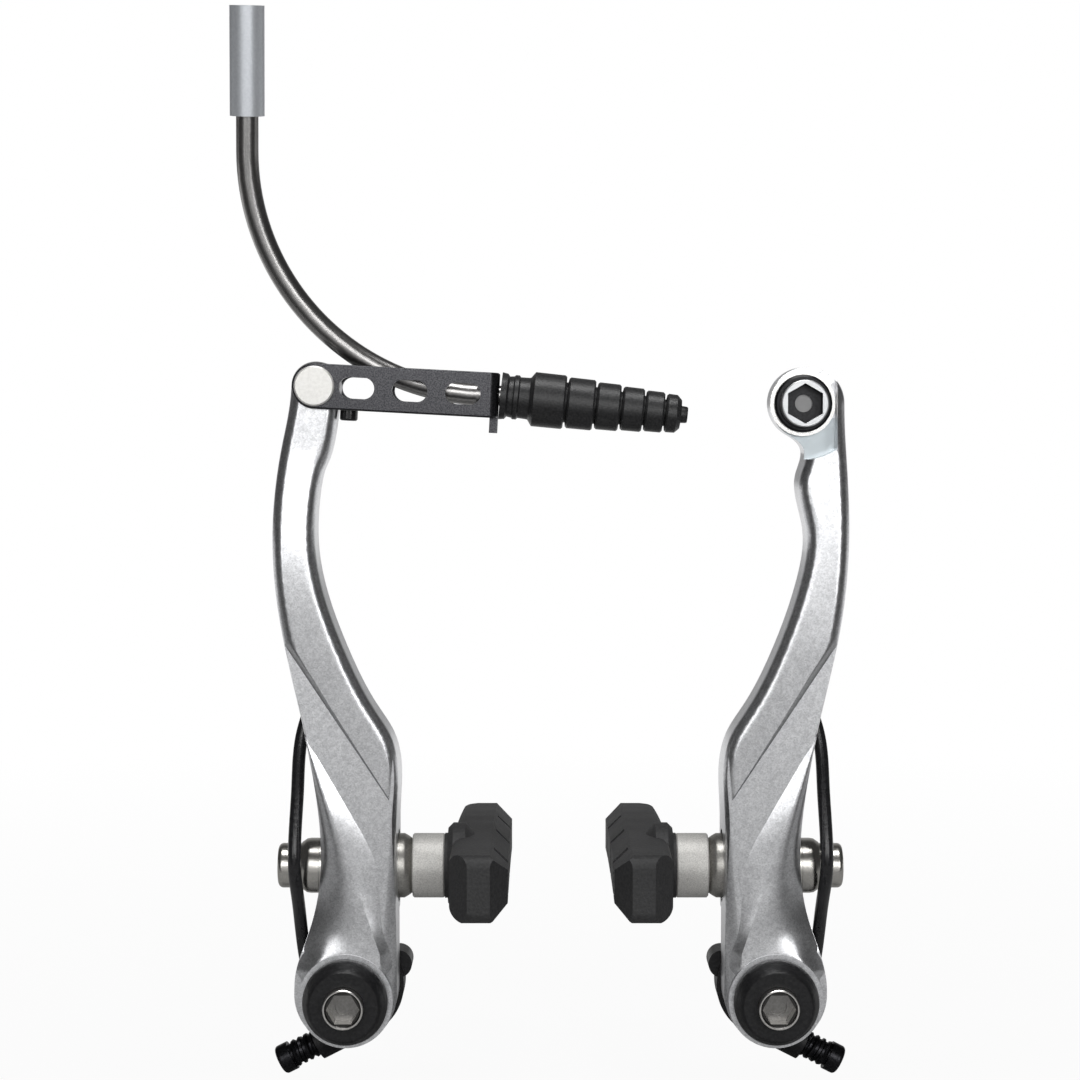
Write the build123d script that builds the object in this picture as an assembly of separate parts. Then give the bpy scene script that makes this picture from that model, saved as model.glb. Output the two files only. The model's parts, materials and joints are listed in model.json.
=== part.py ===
from build123d import *
import os
from math import asin, cos, degrees, pi, radians, sin, sqrt, tan

os.makedirs("parts", exist_ok=True)

# Linear-pull rim brake. Millimetres. X across the wheel, Y rearwards, Z up the fork.
# The origin lies midway between the two frame bosses, in the plane of their shoulders.
# Depths named H are measured forwards from that plane.

# Clearances
RUN_GAP = 0.05
FIT_GAP = 0.02
SEAT_GAP = 0.06
END_PLAY = 0.2

# Frame bosses and pivots
BOSS_SPACING = 75.0
BUSHING_OD = 11.0
BUSHING_BORE = 8.1
BUSHING_RELIEF = 8.6
BUSHING_RELIEF_DEPTH = 4.0
BUSHING_END_WALL = 2.5
BOLT_SHANK_D = 6.2
BOLT_THREAD_D = 5.4
BOLT_CLEAR_D = 6.5
BOLT_TIP_H = 6.5
BOLT_FLANGE_D = 10.2
BOLT_FLANGE_T = 1.6
BOLT_NOSE_D = 7.0
BOLT_NOSE_T = 4.2
PIVOT_SOCKET_AF = 5.0
PIVOT_SOCKET_DEPTH = 3.2
CAP_D = 14.8
CAP_FACE_D = 12.6
CAP_RIM_T = 1.4
CAP_LEDGE_T = 0.8
CAP_HEIGHT = 4.4

# Brake arm outline, measured from its pivot, inwards and upwards
ARM_HEAD_X = -4.88
ARM_HEAD_Z = 107.0
ARM_HEAD_R = 4.25
ARM_BACK_X = -12.4
ARM_BACK_Z = 80.0
ARM_WAIST_X = -4.4
ARM_WAIST_Z = 25.5
ARM_SEAT_X = 8.8
ARM_FOOT_X = 9.1
ARM_FOOT_Z = 1.2
ARM_FOOT_R = 8.3
ARM_SHOULDER_X = 9.25
ARM_SHOULDER_Z = 40.5
ARM_THROAT_X = -5.0
ARM_THROAT_Z = 82.0

# Brake arm depths
ARM_BOSS_FRONT_H = 20.4
ARM_BOSS_REAR_H = 8.0
ARM_RAIL_FRONT_H = 21.4
ARM_RAIL_REAR_H = 11.8
ARM_SHOE_REAR_H = 3.6
ARM_EDGE_R = 2.2
HOLDER_CLEAR_Z = 14.2

# Sculpted front of the arm
PANEL_H = 20.0
STEP_TOP_X = -10.2
STEP_TOP_Z = 63.9
STEP_FOOT_X = 7.3
STEP_FOOT_Z = 37.5
STEP_FLANK = 1.0
STEP_ROUND = 1.2
APEX_X = -7.1
APEX_Z = 47.0
CREASE_FOOT_X = 6.9
CREASE_FOOT_Z = 23.0
RIDGE_FOOT_X = 6.0
RIDGE_FOOT_Z = 8.2
RIDGE_DROP = 0.5
TWIST_TOP = 50.0
TWIST_FOOT = 5.0
ROLL_R = 5.0
ROLL_TOP_X = 7.9
ROLL_FOOT_X = 4.6
COLLAR_R = 8.25

# Cable end of the right arm
ANCHOR_X = -4.4
ANCHOR_Z = 104.0
ANCHOR_HEAD_R = 6.3
ANCHOR_HEAD_SHIFT = 0.8
ANCHOR_REAR_H = 9.0
ANCHOR_SEAT_H = 16.0
ANCHOR_SCOOP_R = 9.7
ANCHOR_SCOOP_REACH = 5.72
ANCHOR_WASHER_D = 11.3
ANCHOR_WASHER_T = 1.7
ANCHOR_FLANGE_D = 10.0
ANCHOR_FLANGE_T = 1.2
ANCHOR_CAP_D = 8.3
ANCHOR_CAP_T = 3.2
ANCHOR_SOCKET_AF = 6.0
ANCHOR_SOCKET_DEPTH = 3.0
ANCHOR_THREAD_D = 6.0
CABLE_GROOVE_R = 0.8

# Brake shoe
STUD_D = 5.9
STUD_Y = -9.0
STUD_Z = 21.9
SLOT_WIDTH = 8.4
SLOT_LENGTH = 13.0
BALL_D = 11.4
BALL_R = 6.3
BALL_RIM_T = 1.0
BALL_BORE = 8.2
CUP_BORE = 6.3
CUP_START = 2.5
CUP_LENGTH = 5.7
SPOT_X = -3.9
SPOT_R = 5.6
OUTER_BALL_D = 9.75
OUTER_BALL_RISE = 2.2
OUTER_CUP_END = 15.5
NUT_D = 7.9
NUT_LENGTH = 4.2
NUT_SOCKET_AF = 5.0
NUT_ROUND = 0.9
PAD_FACE_X = 9.1
PAD_BACK_X = 19.2
PAD_HEIGHT = 11.5
PAD_FRONT = 23.0
PAD_REAR = 47.0
PAD_BEVEL = 3.0
PAD_BACK_R = 2.2
PAD_NOSE_R = 2.0
PAD_BOSS_D = 15.2
PAD_COLLAR_D = 11.5
PAD_GROOVES = 3
PAD_GROOVE_T = 2.2
PAD_GROOVE_DEPTH = 2.5
PAD_GROOVE_FIRST = 26.3
PAD_GROOVE_PITCH = 19.3
PAD_BOW_R = 600.0

# Return spring, its holder and the tension screw
HOLDER_R = 9.5
HOLDER_WALL_R = 8.3
HOLDER_BACK_H = 0.3
HOLDER_FLOOR_H = 2.0
HOLDER_FRONT_H = 7.5
LUG_X = 8.4
LUG_Z = 3.6
LUG_R = 2.5
LUG_FRONT_H = 6.6
PIN_D = 2.5
PIN_HEAD_D = 3.2
PIN_HEAD_T = 1.6
PIN_REACH = 4.0
SPRING_WIRE = 1.6
SPRING_COIL_R = 7.2
SPRING_TURNS = 2.2
SPRING_PITCH = 1.7
SPRING_START_H = 3.0
SLEEVE_D = 2.3
SCREW_TIP_X = -1.5
SCREW_TIP_Z = -8.7
SCREW_RISE = 27.0
SCREW_H = 4.2
SCREW_D = 4.0
SCREW_LENGTH = 10.4
SCREW_BACKSET = 1.3
SCREW_HEAD_D = 5.3
SCREW_HEAD_T = 2.5
SCREW_LUG_R = 3.2
SCREW_LUG_LENGTH = 5.4
HOOK_X = -7.5
HOOK_Z = 54.5
HOOK_D = 2.0
HOOK_HEAD_D = 3.2
HOOK_REACH = 5.0

# Cable link
LINK_H = 16.4
LINK_TILT = 3.0
LINK_INSIDE = 7.1
LINK_SHEET = 1.2
LINK_HEIGHT = 7.8
LINK_EDGE_R = 0.35
LINK_LENGTH = 31.7
LINK_LIP = 2.6
LINK_LIP_WIDTH = 5.0
LINK_END_T = 1.4
LINK_SLOT_L = 6.1
LINK_SLOT_W = 3.7
LINK_SLOT_FIRST = 7.26
LINK_SLOT_PITCH = 9.15
LINK_PIN_D = 5.0
LINK_PIN_HEAD_D = 6.9
LINK_PIN_HEAD_T = 0.9
STOP_D = 3.1
STOP_REACH = 1.8
STOP_X = 5.85

# Curved lead pipe
PIPE_D = 3.8
PIPE_BORE = 2.6
LINER_D = 2.5
LINER_BORE = 1.8
PIPE_BEND_R = 41.0
PIPE_TURN = 88.2
PIPE_LEAN = 9.0
PIPE_TIP_STRAIGHT = 2.4
PIPE_TOP_STRAIGHT = 11.0
PIPE_COLLAR_D = 5.4
PIPE_COLLAR_T = 2.4
PIPE_NOSE_D = 3.5
PIPE_NOSE_L = 6.0
FERRULE_D = 5.9
FERRULE_L = 18.4
FERRULE_BORE = 5.1
FERRULE_DEPTH = 12.0
FERRULE_GRIP = 5.0

# Rubber boot
BOOT_DROOP = 2.9
BOOT_BORE = 4.0
BOOT_CABLE_BORE = 2.0
BOOT_RING_D = [9.4, 8.8, 8.1, 7.6, 7.1, 6.7]
BOOT_RING_END = [11.5, 16.2, 20.7, 24.7, 28.4, 31.4]
BOOT_FLANGE_D = 8.3
BOOT_NECK_D = 7.2
BOOT_NECK_END = 5.0
BOOT_NOSE_D = 2.8
BOOT_NOSE_END = 32.6

PIVOT_X = BOSS_SPACING / 2
BUSHING_FRONT_H = ARM_BOSS_FRONT_H + END_PLAY
ACROSS_CORNERS = 2 / sqrt(3)


def save(name, solid):
    solid.label = name
    export_step(solid, "parts/" + name + ".step")


def save_pair(name, solid):
    save("left_" + name, solid)
    save("right_" + name, mirror(solid, about=Plane.YZ))


def closed(*lines):
    # Lines and curves that run end to end, filled as one flat face
    edges = []
    for line in lines:
        edges.extend(line.edges())
    return make_face(Wire(edges))


def turned(points):
    # A profile of radius and depth H turned about the pivot's own direction
    outline = Polyline(*[(r, -h) for r, h in points], close=True)
    return revolve(make_face(outline), Axis.Y)


def plate(sketch, low_h, high_h):
    # A flat outline in the front view given thickness between two depths
    return extrude(Plane.XZ.offset(low_h) * sketch, amount=high_h - low_h)


def socket(across_flats, face_h, depth, corner_up):
    turn = 30 if corner_up else 0
    hexagon = RegularPolygon(across_flats / 2 * ACROSS_CORNERS, 6, rotation=turn)
    return plate(hexagon, face_h - depth, face_h + 1)


def at_pivot(solid):
    return Pos(-PIVOT_X, 0, 0) * solid


# Left arm outline in the front view: two long spline edges, a round foot and a round head
head_left = (ARM_HEAD_X - ARM_HEAD_R, ARM_HEAD_Z)
head_right = (ARM_HEAD_X + ARM_HEAD_R, ARM_HEAD_Z)
foot_left = (-ARM_FOOT_X, ARM_FOOT_Z)
foot_right = (ARM_SEAT_X, ARM_FOOT_Z)
seat_top = (ARM_SEAT_X, STUD_Z + SLOT_LENGTH / 2 + 1.0)
back_low = (-11.0, 65.2)
back_hollow = (-7.8, 50.2)
waist_high = (-5.2, 36.0)
waist_low = (-5.5, 15.3)
waist_foot = (-7.9, 7.8)
shoulder = (ARM_SHOULDER_X, ARM_SHOULDER_Z)
shoulder_turn = (8.2, 45.8)
hip = (5.3, 50.8)
front_hollow = (0.1, 61.1)
throat_low = (-4.1, 73.5)
throat = (ARM_THROAT_X, ARM_THROAT_Z)
throat_high = (-3.9, ARM_THROAT_Z + 0.384 * (ARM_HEAD_Z - ARM_THROAT_Z))
back_high = (-10.9, ARM_BACK_Z + 0.604 * (ARM_HEAD_Z - ARM_BACK_Z))

outer_low = [(ARM_BACK_X, ARM_BACK_Z), back_low, back_hollow, waist_high, (ARM_WAIST_X, ARM_WAIST_Z)]
outer_low += [waist_low, waist_foot, foot_left]
outer_edge = Spline(head_left, back_high, *outer_low, tangents=[(-0.05, -1), (0, -1)])
foot_edge = ThreePointArc(foot_left, (0, -ARM_FOOT_R), foot_right)
seat_edge = Line(foot_right, seat_top)
inner_up = [seat_top, shoulder, shoulder_turn, hip, front_hollow, throat_low, throat]
inner_edge = Spline(*inner_up, throat_high, head_right, tangents=[(0, 1), (0.1, 1)])
head_edge = ThreePointArc(head_right, (ARM_HEAD_X, ARM_HEAD_Z + ARM_HEAD_R), head_left)
left_outline = closed(outer_edge, foot_edge, seat_edge, inner_edge, head_edge)

# Right arm outline, drawn the same way round, with its larger cable head and fillet neck
neck_turn = radians(-62)
anchor_mid = ANCHOR_X - ANCHOR_HEAD_SHIFT
anchor_left = (anchor_mid - ANCHOR_HEAD_R, ANCHOR_Z)
anchor_top = (anchor_mid, ANCHOR_Z + ANCHOR_HEAD_R)
neck_start = (anchor_mid + ANCHOR_HEAD_R * cos(neck_turn), ANCHOR_Z + ANCHOR_HEAD_R * sin(neck_turn))
neck_low = (-3.9, ARM_THROAT_Z + 0.436 * (ANCHOR_Z - ARM_THROAT_Z))
anchor_back = (-12.0, ARM_BACK_Z + 0.56 * (ANCHOR_Z - ARM_BACK_Z))
neck_way = (-sin(neck_turn), cos(neck_turn))
anchor_outer = Spline(anchor_left, anchor_back, *outer_low, tangents=[(0, -1), (0, -1)])
anchor_inner = Spline(*inner_up, neck_low, neck_start, tangents=[(0, 1), neck_way])
anchor_head = ThreePointArc(neck_start, anchor_top, anchor_left)
right_outline = closed(anchor_outer, foot_edge, seat_edge, anchor_inner, anchor_head)


def side_profile(top_front, top_rear, top_z):
    # The arm seen from its side: boss, shoe mounting, slim rail and head
    low = -ARM_FOOT_R - 4
    high = max(ARM_HEAD_Z, ANCHOR_Z) + 10
    brow_z = ARM_BACK_Z + 0.25 * (top_z - ARM_BACK_Z)
    foot = (-ARM_BOSS_FRONT_H, 8.0)
    crest = (-ARM_RAIL_FRONT_H, 62.0)
    brow = (-ARM_RAIL_FRONT_H + 0.4, brow_z)
    tip = (-top_front, top_z)
    front = Spline(foot, (-PANEL_H - 0.6, 37.0), crest, brow, tip, tangents=[(0, 1), (0, 1)])
    shoe_top = (-ARM_SHOE_REAR_H, STUD_Z + SLOT_LENGTH / 2 + 1.8)
    sweep_up = (-ARM_RAIL_REAR_H + 4.8, 39.0)
    rail_low = (-ARM_RAIL_REAR_H + 0.6, 49.0)
    rail_mid = (-ARM_RAIL_REAR_H, 60.0)
    rail_top = (-(ARM_RAIL_REAR_H * 2 + top_rear) / 3, brow_z)
    rear_end = (-top_rear, top_z)
    rear = Spline(rear_end, rail_top, rail_mid, rail_low, sweep_up, shoe_top, tangents=[(0, -1), (0, -1)])
    upper = Polyline(tip, (-top_front, high), (-top_rear, high), rear_end)
    lug = (-ARM_SHOE_REAR_H - 2.4, HOLDER_CLEAR_Z)
    lower = Polyline(
        shoe_top,
        (-ARM_SHOE_REAR_H, HOLDER_CLEAR_Z + 2.6),
        lug,
        (-ARM_BOSS_REAR_H, HOLDER_CLEAR_Z),
        (-ARM_BOSS_REAR_H, low),
        (-ARM_BOSS_FRONT_H, low),
        foot,
    )
    return closed(front, upper, rear, lower)


def forged_arm(outline, profile):
    # Front view and side view meet, then the whole front rim is rounded
    front_view = extrude(Plane.XZ * outline, amount=ARM_RAIL_FRONT_H + 3)
    side_view = extrude(Plane.YZ * profile, amount=40, both=True)
    blank = front_view & side_view
    rim = blank.edges().filter_by(lambda e: e.center().Y < -ARM_BOSS_FRONT_H + 1.6)
    rim = rim.filter_by(lambda e: abs(e.tangent_at(0.5).X) < 0.999 or e.geom_type != GeomType.LINE)
    arm = fillet(rim, ARM_EDGE_R)
    # The rail steps down over a rounded flank to the flat side panel
    step = Vector(STEP_FOOT_X - STEP_TOP_X, 0, STEP_FOOT_Z - STEP_TOP_Z).normalized()
    step_plane = Plane((STEP_TOP_X, -PANEL_H, STEP_TOP_Z), x_dir=(step.Z, 0, -step.X), z_dir=step)
    sense = 1 if step_plane.y_dir.Y < 0 else -1
    rise = ARM_RAIL_FRONT_H - PANEL_H + 0.15
    run = STEP_ROUND + STEP_FLANK
    flank_r = (run**2 + rise**2) / (2 * rise)
    mid_turn = asin(min(run / flank_r, 1.0)) / 2
    flank_top = (-STEP_ROUND, sense * rise)
    flank_mid = (flank_r * sin(mid_turn) - STEP_ROUND, sense * (rise - flank_r * (1 - cos(mid_turn))))
    flank = ThreePointArc(flank_top, flank_mid, (STEP_FLANK, 0))
    above = Polyline((STEP_FLANK, 0), (60, 0), (60, sense * 9), (-STEP_ROUND, sense * 9), flank_top)
    arm = arm - extrude(step_plane * closed(flank, above), amount=110, both=True)
    # Below the crease the panel tilts towards the ridge
    apex = Vector(APEX_X, -PANEL_H, APEX_Z)
    crease = Vector(CREASE_FOOT_X, -PANEL_H, CREASE_FOOT_Z) - apex
    ridge = Vector(RIDGE_FOOT_X, -PANEL_H + RIDGE_DROP, RIDGE_FOOT_Z) - apex
    facet_out = crease.cross(ridge).normalized()
    facet_out = facet_out if facet_out.Y < 0 else facet_out * -1
    facet_plane = Plane(apex, x_dir=crease, z_dir=facet_out)
    side = 1 if facet_plane.y_dir.dot(ridge) > 0 else -1
    arm = arm - extrude(facet_plane * Pos(0, side * 75) * Rectangle(300, 150), amount=30)
    # Outside the ridge a twisted face turns from steep at the apex to nearly flat at the foot
    over = apex + ridge * (4.0 / ridge.Z)
    foot = apex + ridge
    stations = [(over, over.Z, TWIST_TOP), (foot, foot.Z, TWIST_FOOT), (foot, -16.0, TWIST_FOOT)]
    sections = []
    for spot, level, slope in stations:
        fall = 40 * tan(radians(slope))
        corners = [(spot.X, spot.Y), (spot.X - 40, spot.Y + fall), (spot.X - 40, -60), (spot.X, -60)]
        sections.append(Pos(0, 0, level) * make_face(Polyline(*corners, close=True)))
    arm = arm - loft(sections, ruled=True)
    # Beside the shoe seat the front rolls over towards the inner edge
    roll_top = Vector(ROLL_TOP_X, -PANEL_H - 0.05, STEP_FOOT_Z)
    roll_foot = Vector(ROLL_FOOT_X, -PANEL_H + RIDGE_DROP, ARM_FOOT_Z)
    roll_way = (roll_foot - roll_top).normalized()
    roll_plane = Plane(roll_top, x_dir=(-roll_way.Z, 0, roll_way.X), z_dir=roll_way)
    lift = 1 if roll_plane.y_dir.Y < 0 else -1
    waste = Pos(ROLL_R, 0) * Rectangle(2 * ROLL_R, 2 * ROLL_R)
    keep = Pos(0, -lift * ROLL_R) * Circle(ROLL_R)
    below = Pos(ROLL_R, -lift * 2 * ROLL_R) * Rectangle(2 * ROLL_R, 2 * ROLL_R)
    arm = arm - extrude(roll_plane * (waste - keep - below), amount=90, both=True)
    # Round collar about the pivot, then its bore
    collar = plate(Circle(COLLAR_R), ARM_BOSS_REAR_H, ARM_BOSS_FRONT_H)
    arm = arm + collar
    arm = arm - plate(Circle(BUSHING_OD / 2 + RUN_GAP), 0, 40)
    # Long hole for the shoe's stud and the flat seat of the outer washer
    slot = SlotOverall(SLOT_LENGTH, SLOT_WIDTH, rotation=90)
    arm = arm - extrude(Plane.YZ * Pos(STUD_Y, STUD_Z) * slot, amount=40, both=True)
    spot = Plane((SPOT_X, STUD_Y, STUD_Z), x_dir=(0, 1, 0), z_dir=(-1, 0, 0)) * Circle(SPOT_R)
    arm = arm - extrude(spot, amount=12)
    # Blind hole for the spring's hook pin
    hook_hole = plate(Pos(HOOK_X, HOOK_Z) * Circle(HOOK_D / 2 + FIT_GAP), 0, ARM_RAIL_REAR_H + 2.6)
    return arm - hook_hole


# Left arm with its link pin hole
left_top_z = ARM_BACK_Z + 0.63 * (ARM_HEAD_Z - ARM_BACK_Z)
left_side = side_profile(LINK_H + LINK_INSIDE / 2 - 0.25, LINK_H - LINK_INSIDE / 2 + 0.25, left_top_z)
left_arm = forged_arm(left_outline, left_side)
pin_place = Pos(ARM_HEAD_X, ARM_HEAD_Z)
left_arm = left_arm - plate(pin_place * Circle(LINK_PIN_D / 2 + FIT_GAP), 0, 40)
left_arm = at_pivot(left_arm)
save("left_arm", left_arm)

# Right arm with its cable anchor seat
right_top_z = ARM_BACK_Z + 0.75 * (ANCHOR_Z - ARM_BACK_Z)
right_side = side_profile(ARM_RAIL_FRONT_H - 0.8, ANCHOR_REAR_H, right_top_z)
right_arm = forged_arm(right_outline, right_side)
anchor_place = Pos(ANCHOR_X, ANCHOR_Z)
flank_wall = Pos(-ANCHOR_SCOOP_REACH - ANCHOR_SCOOP_R, 0) * Rectangle(2 * ANCHOR_SCOOP_R, 4 * ANCHOR_SCOOP_R)
scoop = Circle(ANCHOR_SCOOP_R) - flank_wall
right_arm = right_arm - plate(anchor_place * scoop, ANCHOR_SEAT_H, 40)
right_arm = right_arm - plate(anchor_place * Circle(ANCHOR_THREAD_D / 2 + FIT_GAP), 0, 40)
right_arm = mirror(at_pivot(right_arm), about=Plane.YZ)
save("right_arm", right_arm)

# Pivot bushings, a running fit in the arms, with a relieved mouth for the boss's foot
front = BUSHING_FRONT_H
seat = BUSHING_FRONT_H - BUSHING_END_WALL
bushing_profile = [
    (BUSHING_RELIEF / 2, 0),
    (BUSHING_OD / 2, 0),
    (BUSHING_OD / 2, front),
    (BOLT_CLEAR_D / 2, front),
    (BOLT_CLEAR_D / 2, seat),
    (BUSHING_BORE / 2, seat),
    (BUSHING_BORE / 2, BUSHING_RELIEF_DEPTH),
    (BUSHING_RELIEF / 2, BUSHING_RELIEF_DEPTH),
]
save_pair("pivot_bushing", at_pivot(turned(bushing_profile)))

# Bolt caps, cupped rings that hold the arms on their bushings
cap_top = BUSHING_FRONT_H + CAP_HEIGHT
flange_back = BUSHING_FRONT_H + CAP_LEDGE_T
flange_front = flange_back + BOLT_FLANGE_T
cap_profile = [
    (BOLT_CLEAR_D / 2, front),
    (CAP_D / 2, front),
    (CAP_D / 2, front + CAP_RIM_T),
    (CAP_FACE_D / 2, cap_top - 0.3),
    (CAP_FACE_D / 2 - 0.4, cap_top),
    (BOLT_NOSE_D / 2 + SEAT_GAP, cap_top),
    (BOLT_NOSE_D / 2 + SEAT_GAP, flange_front + SEAT_GAP),
    (BOLT_FLANGE_D / 2 + SEAT_GAP, flange_front + SEAT_GAP),
    (BOLT_FLANGE_D / 2 + SEAT_GAP, flange_back),
    (BOLT_CLEAR_D / 2, flange_back),
]
save_pair("bolt_cap", at_pivot(turned(cap_profile)))

# Fixing bolts with a key socket
nose_front = flange_front + BOLT_NOSE_T
chamfer = 0.55
bolt_profile = [
    (0, BOLT_TIP_H),
    (BOLT_THREAD_D / 2 - 0.6, BOLT_TIP_H),
    (BOLT_THREAD_D / 2, BOLT_TIP_H + 0.6),
    (BOLT_THREAD_D / 2, seat - 0.2),
    (BOLT_SHANK_D / 2, seat),
    (BOLT_SHANK_D / 2, flange_back),
    (BOLT_FLANGE_D / 2, flange_back),
    (BOLT_FLANGE_D / 2, flange_front),
    (BOLT_NOSE_D / 2, flange_front),
    (BOLT_NOSE_D / 2, nose_front - 0.15),
    (BOLT_NOSE_D / 2 - 0.15, nose_front),
    (BOLT_NOSE_D / 2 - 0.3, nose_front),
    (BOLT_NOSE_D / 2 - chamfer, nose_front - 0.4),
    (0, nose_front - 0.4),
]
fixing_bolt = turned(bolt_profile)
fixing_bolt = fixing_bolt - socket(PIVOT_SOCKET_AF, nose_front, PIVOT_SOCKET_DEPTH, False)
dimple_h = nose_front - PIVOT_SOCKET_DEPTH
fixing_bolt = fixing_bolt - plate(Circle(1.55), dimple_h - 0.5, dimple_h + 0.5)
save_pair("fixing_bolt", at_pivot(fixing_bolt))

# Spring holders: an open cup about the bushing with a pin lug and a screw lug
screw_way = Vector(cos(radians(SCREW_RISE)), 0, sin(radians(SCREW_RISE)))
screw_tip = Vector(SCREW_TIP_X, -SCREW_H, SCREW_TIP_Z)
screw_plane = Plane(screw_tip, x_dir=(0, 1, 0), z_dir=screw_way * -1)
cup = plate(Circle(HOLDER_R), HOLDER_BACK_H, HOLDER_FRONT_H)
pin_lug = plate(Pos(LUG_X, LUG_Z) * Circle(LUG_R), HOLDER_BACK_H, LUG_FRONT_H)
screw_lug = extrude(screw_plane * Circle(SCREW_LUG_R), amount=SCREW_LUG_LENGTH)
holder = cup + pin_lug + screw_lug
holder = holder - plate(Circle(HOLDER_WALL_R), HOLDER_FLOOR_H, 30)
holder = holder - plate(Circle(BUSHING_OD / 2 + SEAT_GAP), -5, 30)
holder = holder - plate(Pos(-HOLDER_WALL_R, 5.5) * Rectangle(5, 9), HOLDER_FLOOR_H + 1.2, 30)
pin_top = HOLDER_BACK_H + PIN_HEAD_T
holder = holder - plate(Pos(LUG_X, LUG_Z) * Circle(PIN_HEAD_D / 2 + FIT_GAP), -5, pin_top)
holder = holder - extrude(screw_plane * Circle(SCREW_D / 2 + RUN_GAP), amount=40, both=True)
save_pair("spring_holder", at_pivot(holder))

# Stop pins that enter the hole beside each boss
pin_profile = [
    (0, pin_top),
    (PIN_HEAD_D / 2, pin_top),
    (PIN_HEAD_D / 2, HOLDER_BACK_H),
    (PIN_D / 2, HOLDER_BACK_H),
    (PIN_D / 2, 0.4 - PIN_REACH),
    (PIN_D / 2 - 0.4, -PIN_REACH),
    (0, -PIN_REACH),
]
save_pair("stop_pin", at_pivot(Pos(LUG_X, 0, LUG_Z) * turned(pin_profile)))

# Tension screws, turning in the holder's lower lug
screw = extrude(screw_plane.offset(SCREW_BACKSET) * Circle(SCREW_D / 2), amount=SCREW_LENGTH - SCREW_BACKSET)
head_plane = screw_plane.offset(SCREW_LENGTH)
screw_head = extrude(head_plane * Circle(SCREW_HEAD_D / 2), amount=SCREW_HEAD_T)
screw_head = fillet(screw_head.edges().group_by(Axis((0, 0, 0), screw_way))[0], 0.7)
cross_plane = head_plane.offset(SCREW_HEAD_T - 1.0)
cross = Rectangle(3.2, 0.8) + Rectangle(0.8, 3.2)
screw = screw + screw_head - extrude(cross_plane * cross, amount=3)
save_pair("tension_screw", at_pivot(screw))

# Return springs: a coil about the bushing, then a long leg up the outside of the arm
end_angle = pi
coil = []
steps = 26
for i in range(steps + 1):
    share = i / steps
    angle = end_angle + 2 * pi * SPRING_TURNS * (1 - share)
    depth = SPRING_START_H + SPRING_PITCH * SPRING_TURNS * share
    coil.append((SPRING_COIL_R * cos(angle), -depth, SPRING_COIL_R * sin(angle)))
leg = [
    (-8.2, -6.5, 4.8),
    (-8.75, -6.7, 9.0),
    (-8.95, -11.4, 16.5),
    (-9.1, -15.6, 23.6),
    (-9.0, -15.2, 30.0),
    (-8.8, -13.2, 36.3),
    (-8.2, -9.9, 45.6),
    (-6.6, -9.0, 51.0),
    (HOOK_X + HOOK_D / 2 + SPRING_WIRE / 2 + 0.1, -8.9, HOOK_Z),
    (-4.9, -8.9, 58.5),
]
wire_path = Spline(*coil, *leg)
wire_start = Plane(wire_path @ 0, z_dir=wire_path % 0)
wire = sweep(wire_start * Circle(SPRING_WIRE / 2), path=wire_path)
save_pair("return_spring", at_pivot(wire))

# Plastic sleeves on the springs' legs
coil_share = 2 * pi * SPRING_COIL_R * SPRING_TURNS / wire_path.length
sleeve_path = wire_path.trim(coil_share + 0.02, 1 - 8.5 / wire_path.length)
sleeve_start = Plane(sleeve_path @ 0, z_dir=sleeve_path % 0)
ring = Circle(SLEEVE_D / 2) - Circle(SPRING_WIRE / 2 + RUN_GAP)
save_pair("spring_sleeve", at_pivot(sweep(sleeve_start * ring, path=sleeve_path)))

# Hook pins in the backs of the arms
hook_profile = [
    (0, ARM_RAIL_REAR_H + 2.5),
    (HOOK_D / 2, ARM_RAIL_REAR_H + 2.5),
    (HOOK_D / 2, ARM_RAIL_REAR_H - HOOK_REACH + 0.8),
    (HOOK_HEAD_D / 2, ARM_RAIL_REAR_H - HOOK_REACH + 0.6),
    (HOOK_HEAD_D / 2, ARM_RAIL_REAR_H - HOOK_REACH),
    (0, ARM_RAIL_REAR_H - HOOK_REACH - 0.2),
]
save_pair("spring_hook", at_pivot(Pos(HOOK_X, 0, HOOK_Z) * turned(hook_profile)))

# Shoe hardware turned about the stud, measured from the arm's inner seat
seat_x = ARM_SEAT_X - PIVOT_X
spot_x = SPOT_X - PIVOT_X
rim_r = BALL_D / 2
ball_back = sqrt(BALL_R**2 - rim_r**2) - BALL_RIM_T
ball_x = seat_x - ball_back
stud_line = Pos(0, STUD_Y, STUD_Z)


def dome_x(radius, r):
    return sqrt(radius**2 - r**2)


def dome_arc(x_centre, radius, r_from, r_to, side):
    r_mid = (r_from + r_to) / 2
    ends = [(x_centre + side * dome_x(radius, r), r) for r in (r_from, r_mid, r_to)]
    return ThreePointArc(*ends)


def ring_of(edges):
    return stud_line * revolve(closed(*edges), Axis.X)


# Inner ball washers, flat on the arm and domed towards the shoe
dome = dome_arc(ball_x, BALL_R, rim_r, BALL_BORE / 2, 1)
flat_side = Polyline(dome @ 1, (seat_x, BALL_BORE / 2), (seat_x, rim_r), dome @ 0)
save_pair("inner_ball_washer", ring_of([dome, flat_side]))

# Cup spacers between the dome and the shoe
cup_r = BALL_R + SEAT_GAP
cup_front = seat_x + CUP_START
cup_back = cup_front + CUP_LENGTH
lip_r = sqrt(cup_r**2 - (cup_front - ball_x) ** 2)
hollow = dome_arc(ball_x, cup_r, lip_r, CUP_BORE / 2, 1)
outside = Polyline(
    hollow @ 1,
    (cup_back, CUP_BORE / 2),
    (cup_back, BALL_D / 2 - 0.25),
    (cup_back - 0.25, BALL_D / 2),
    (cup_front + 0.25, BALL_D / 2),
    (cup_front, BALL_D / 2 - 0.25),
    hollow @ 0,
)
save_pair("cup_spacer", ring_of([hollow, outside]))

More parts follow.
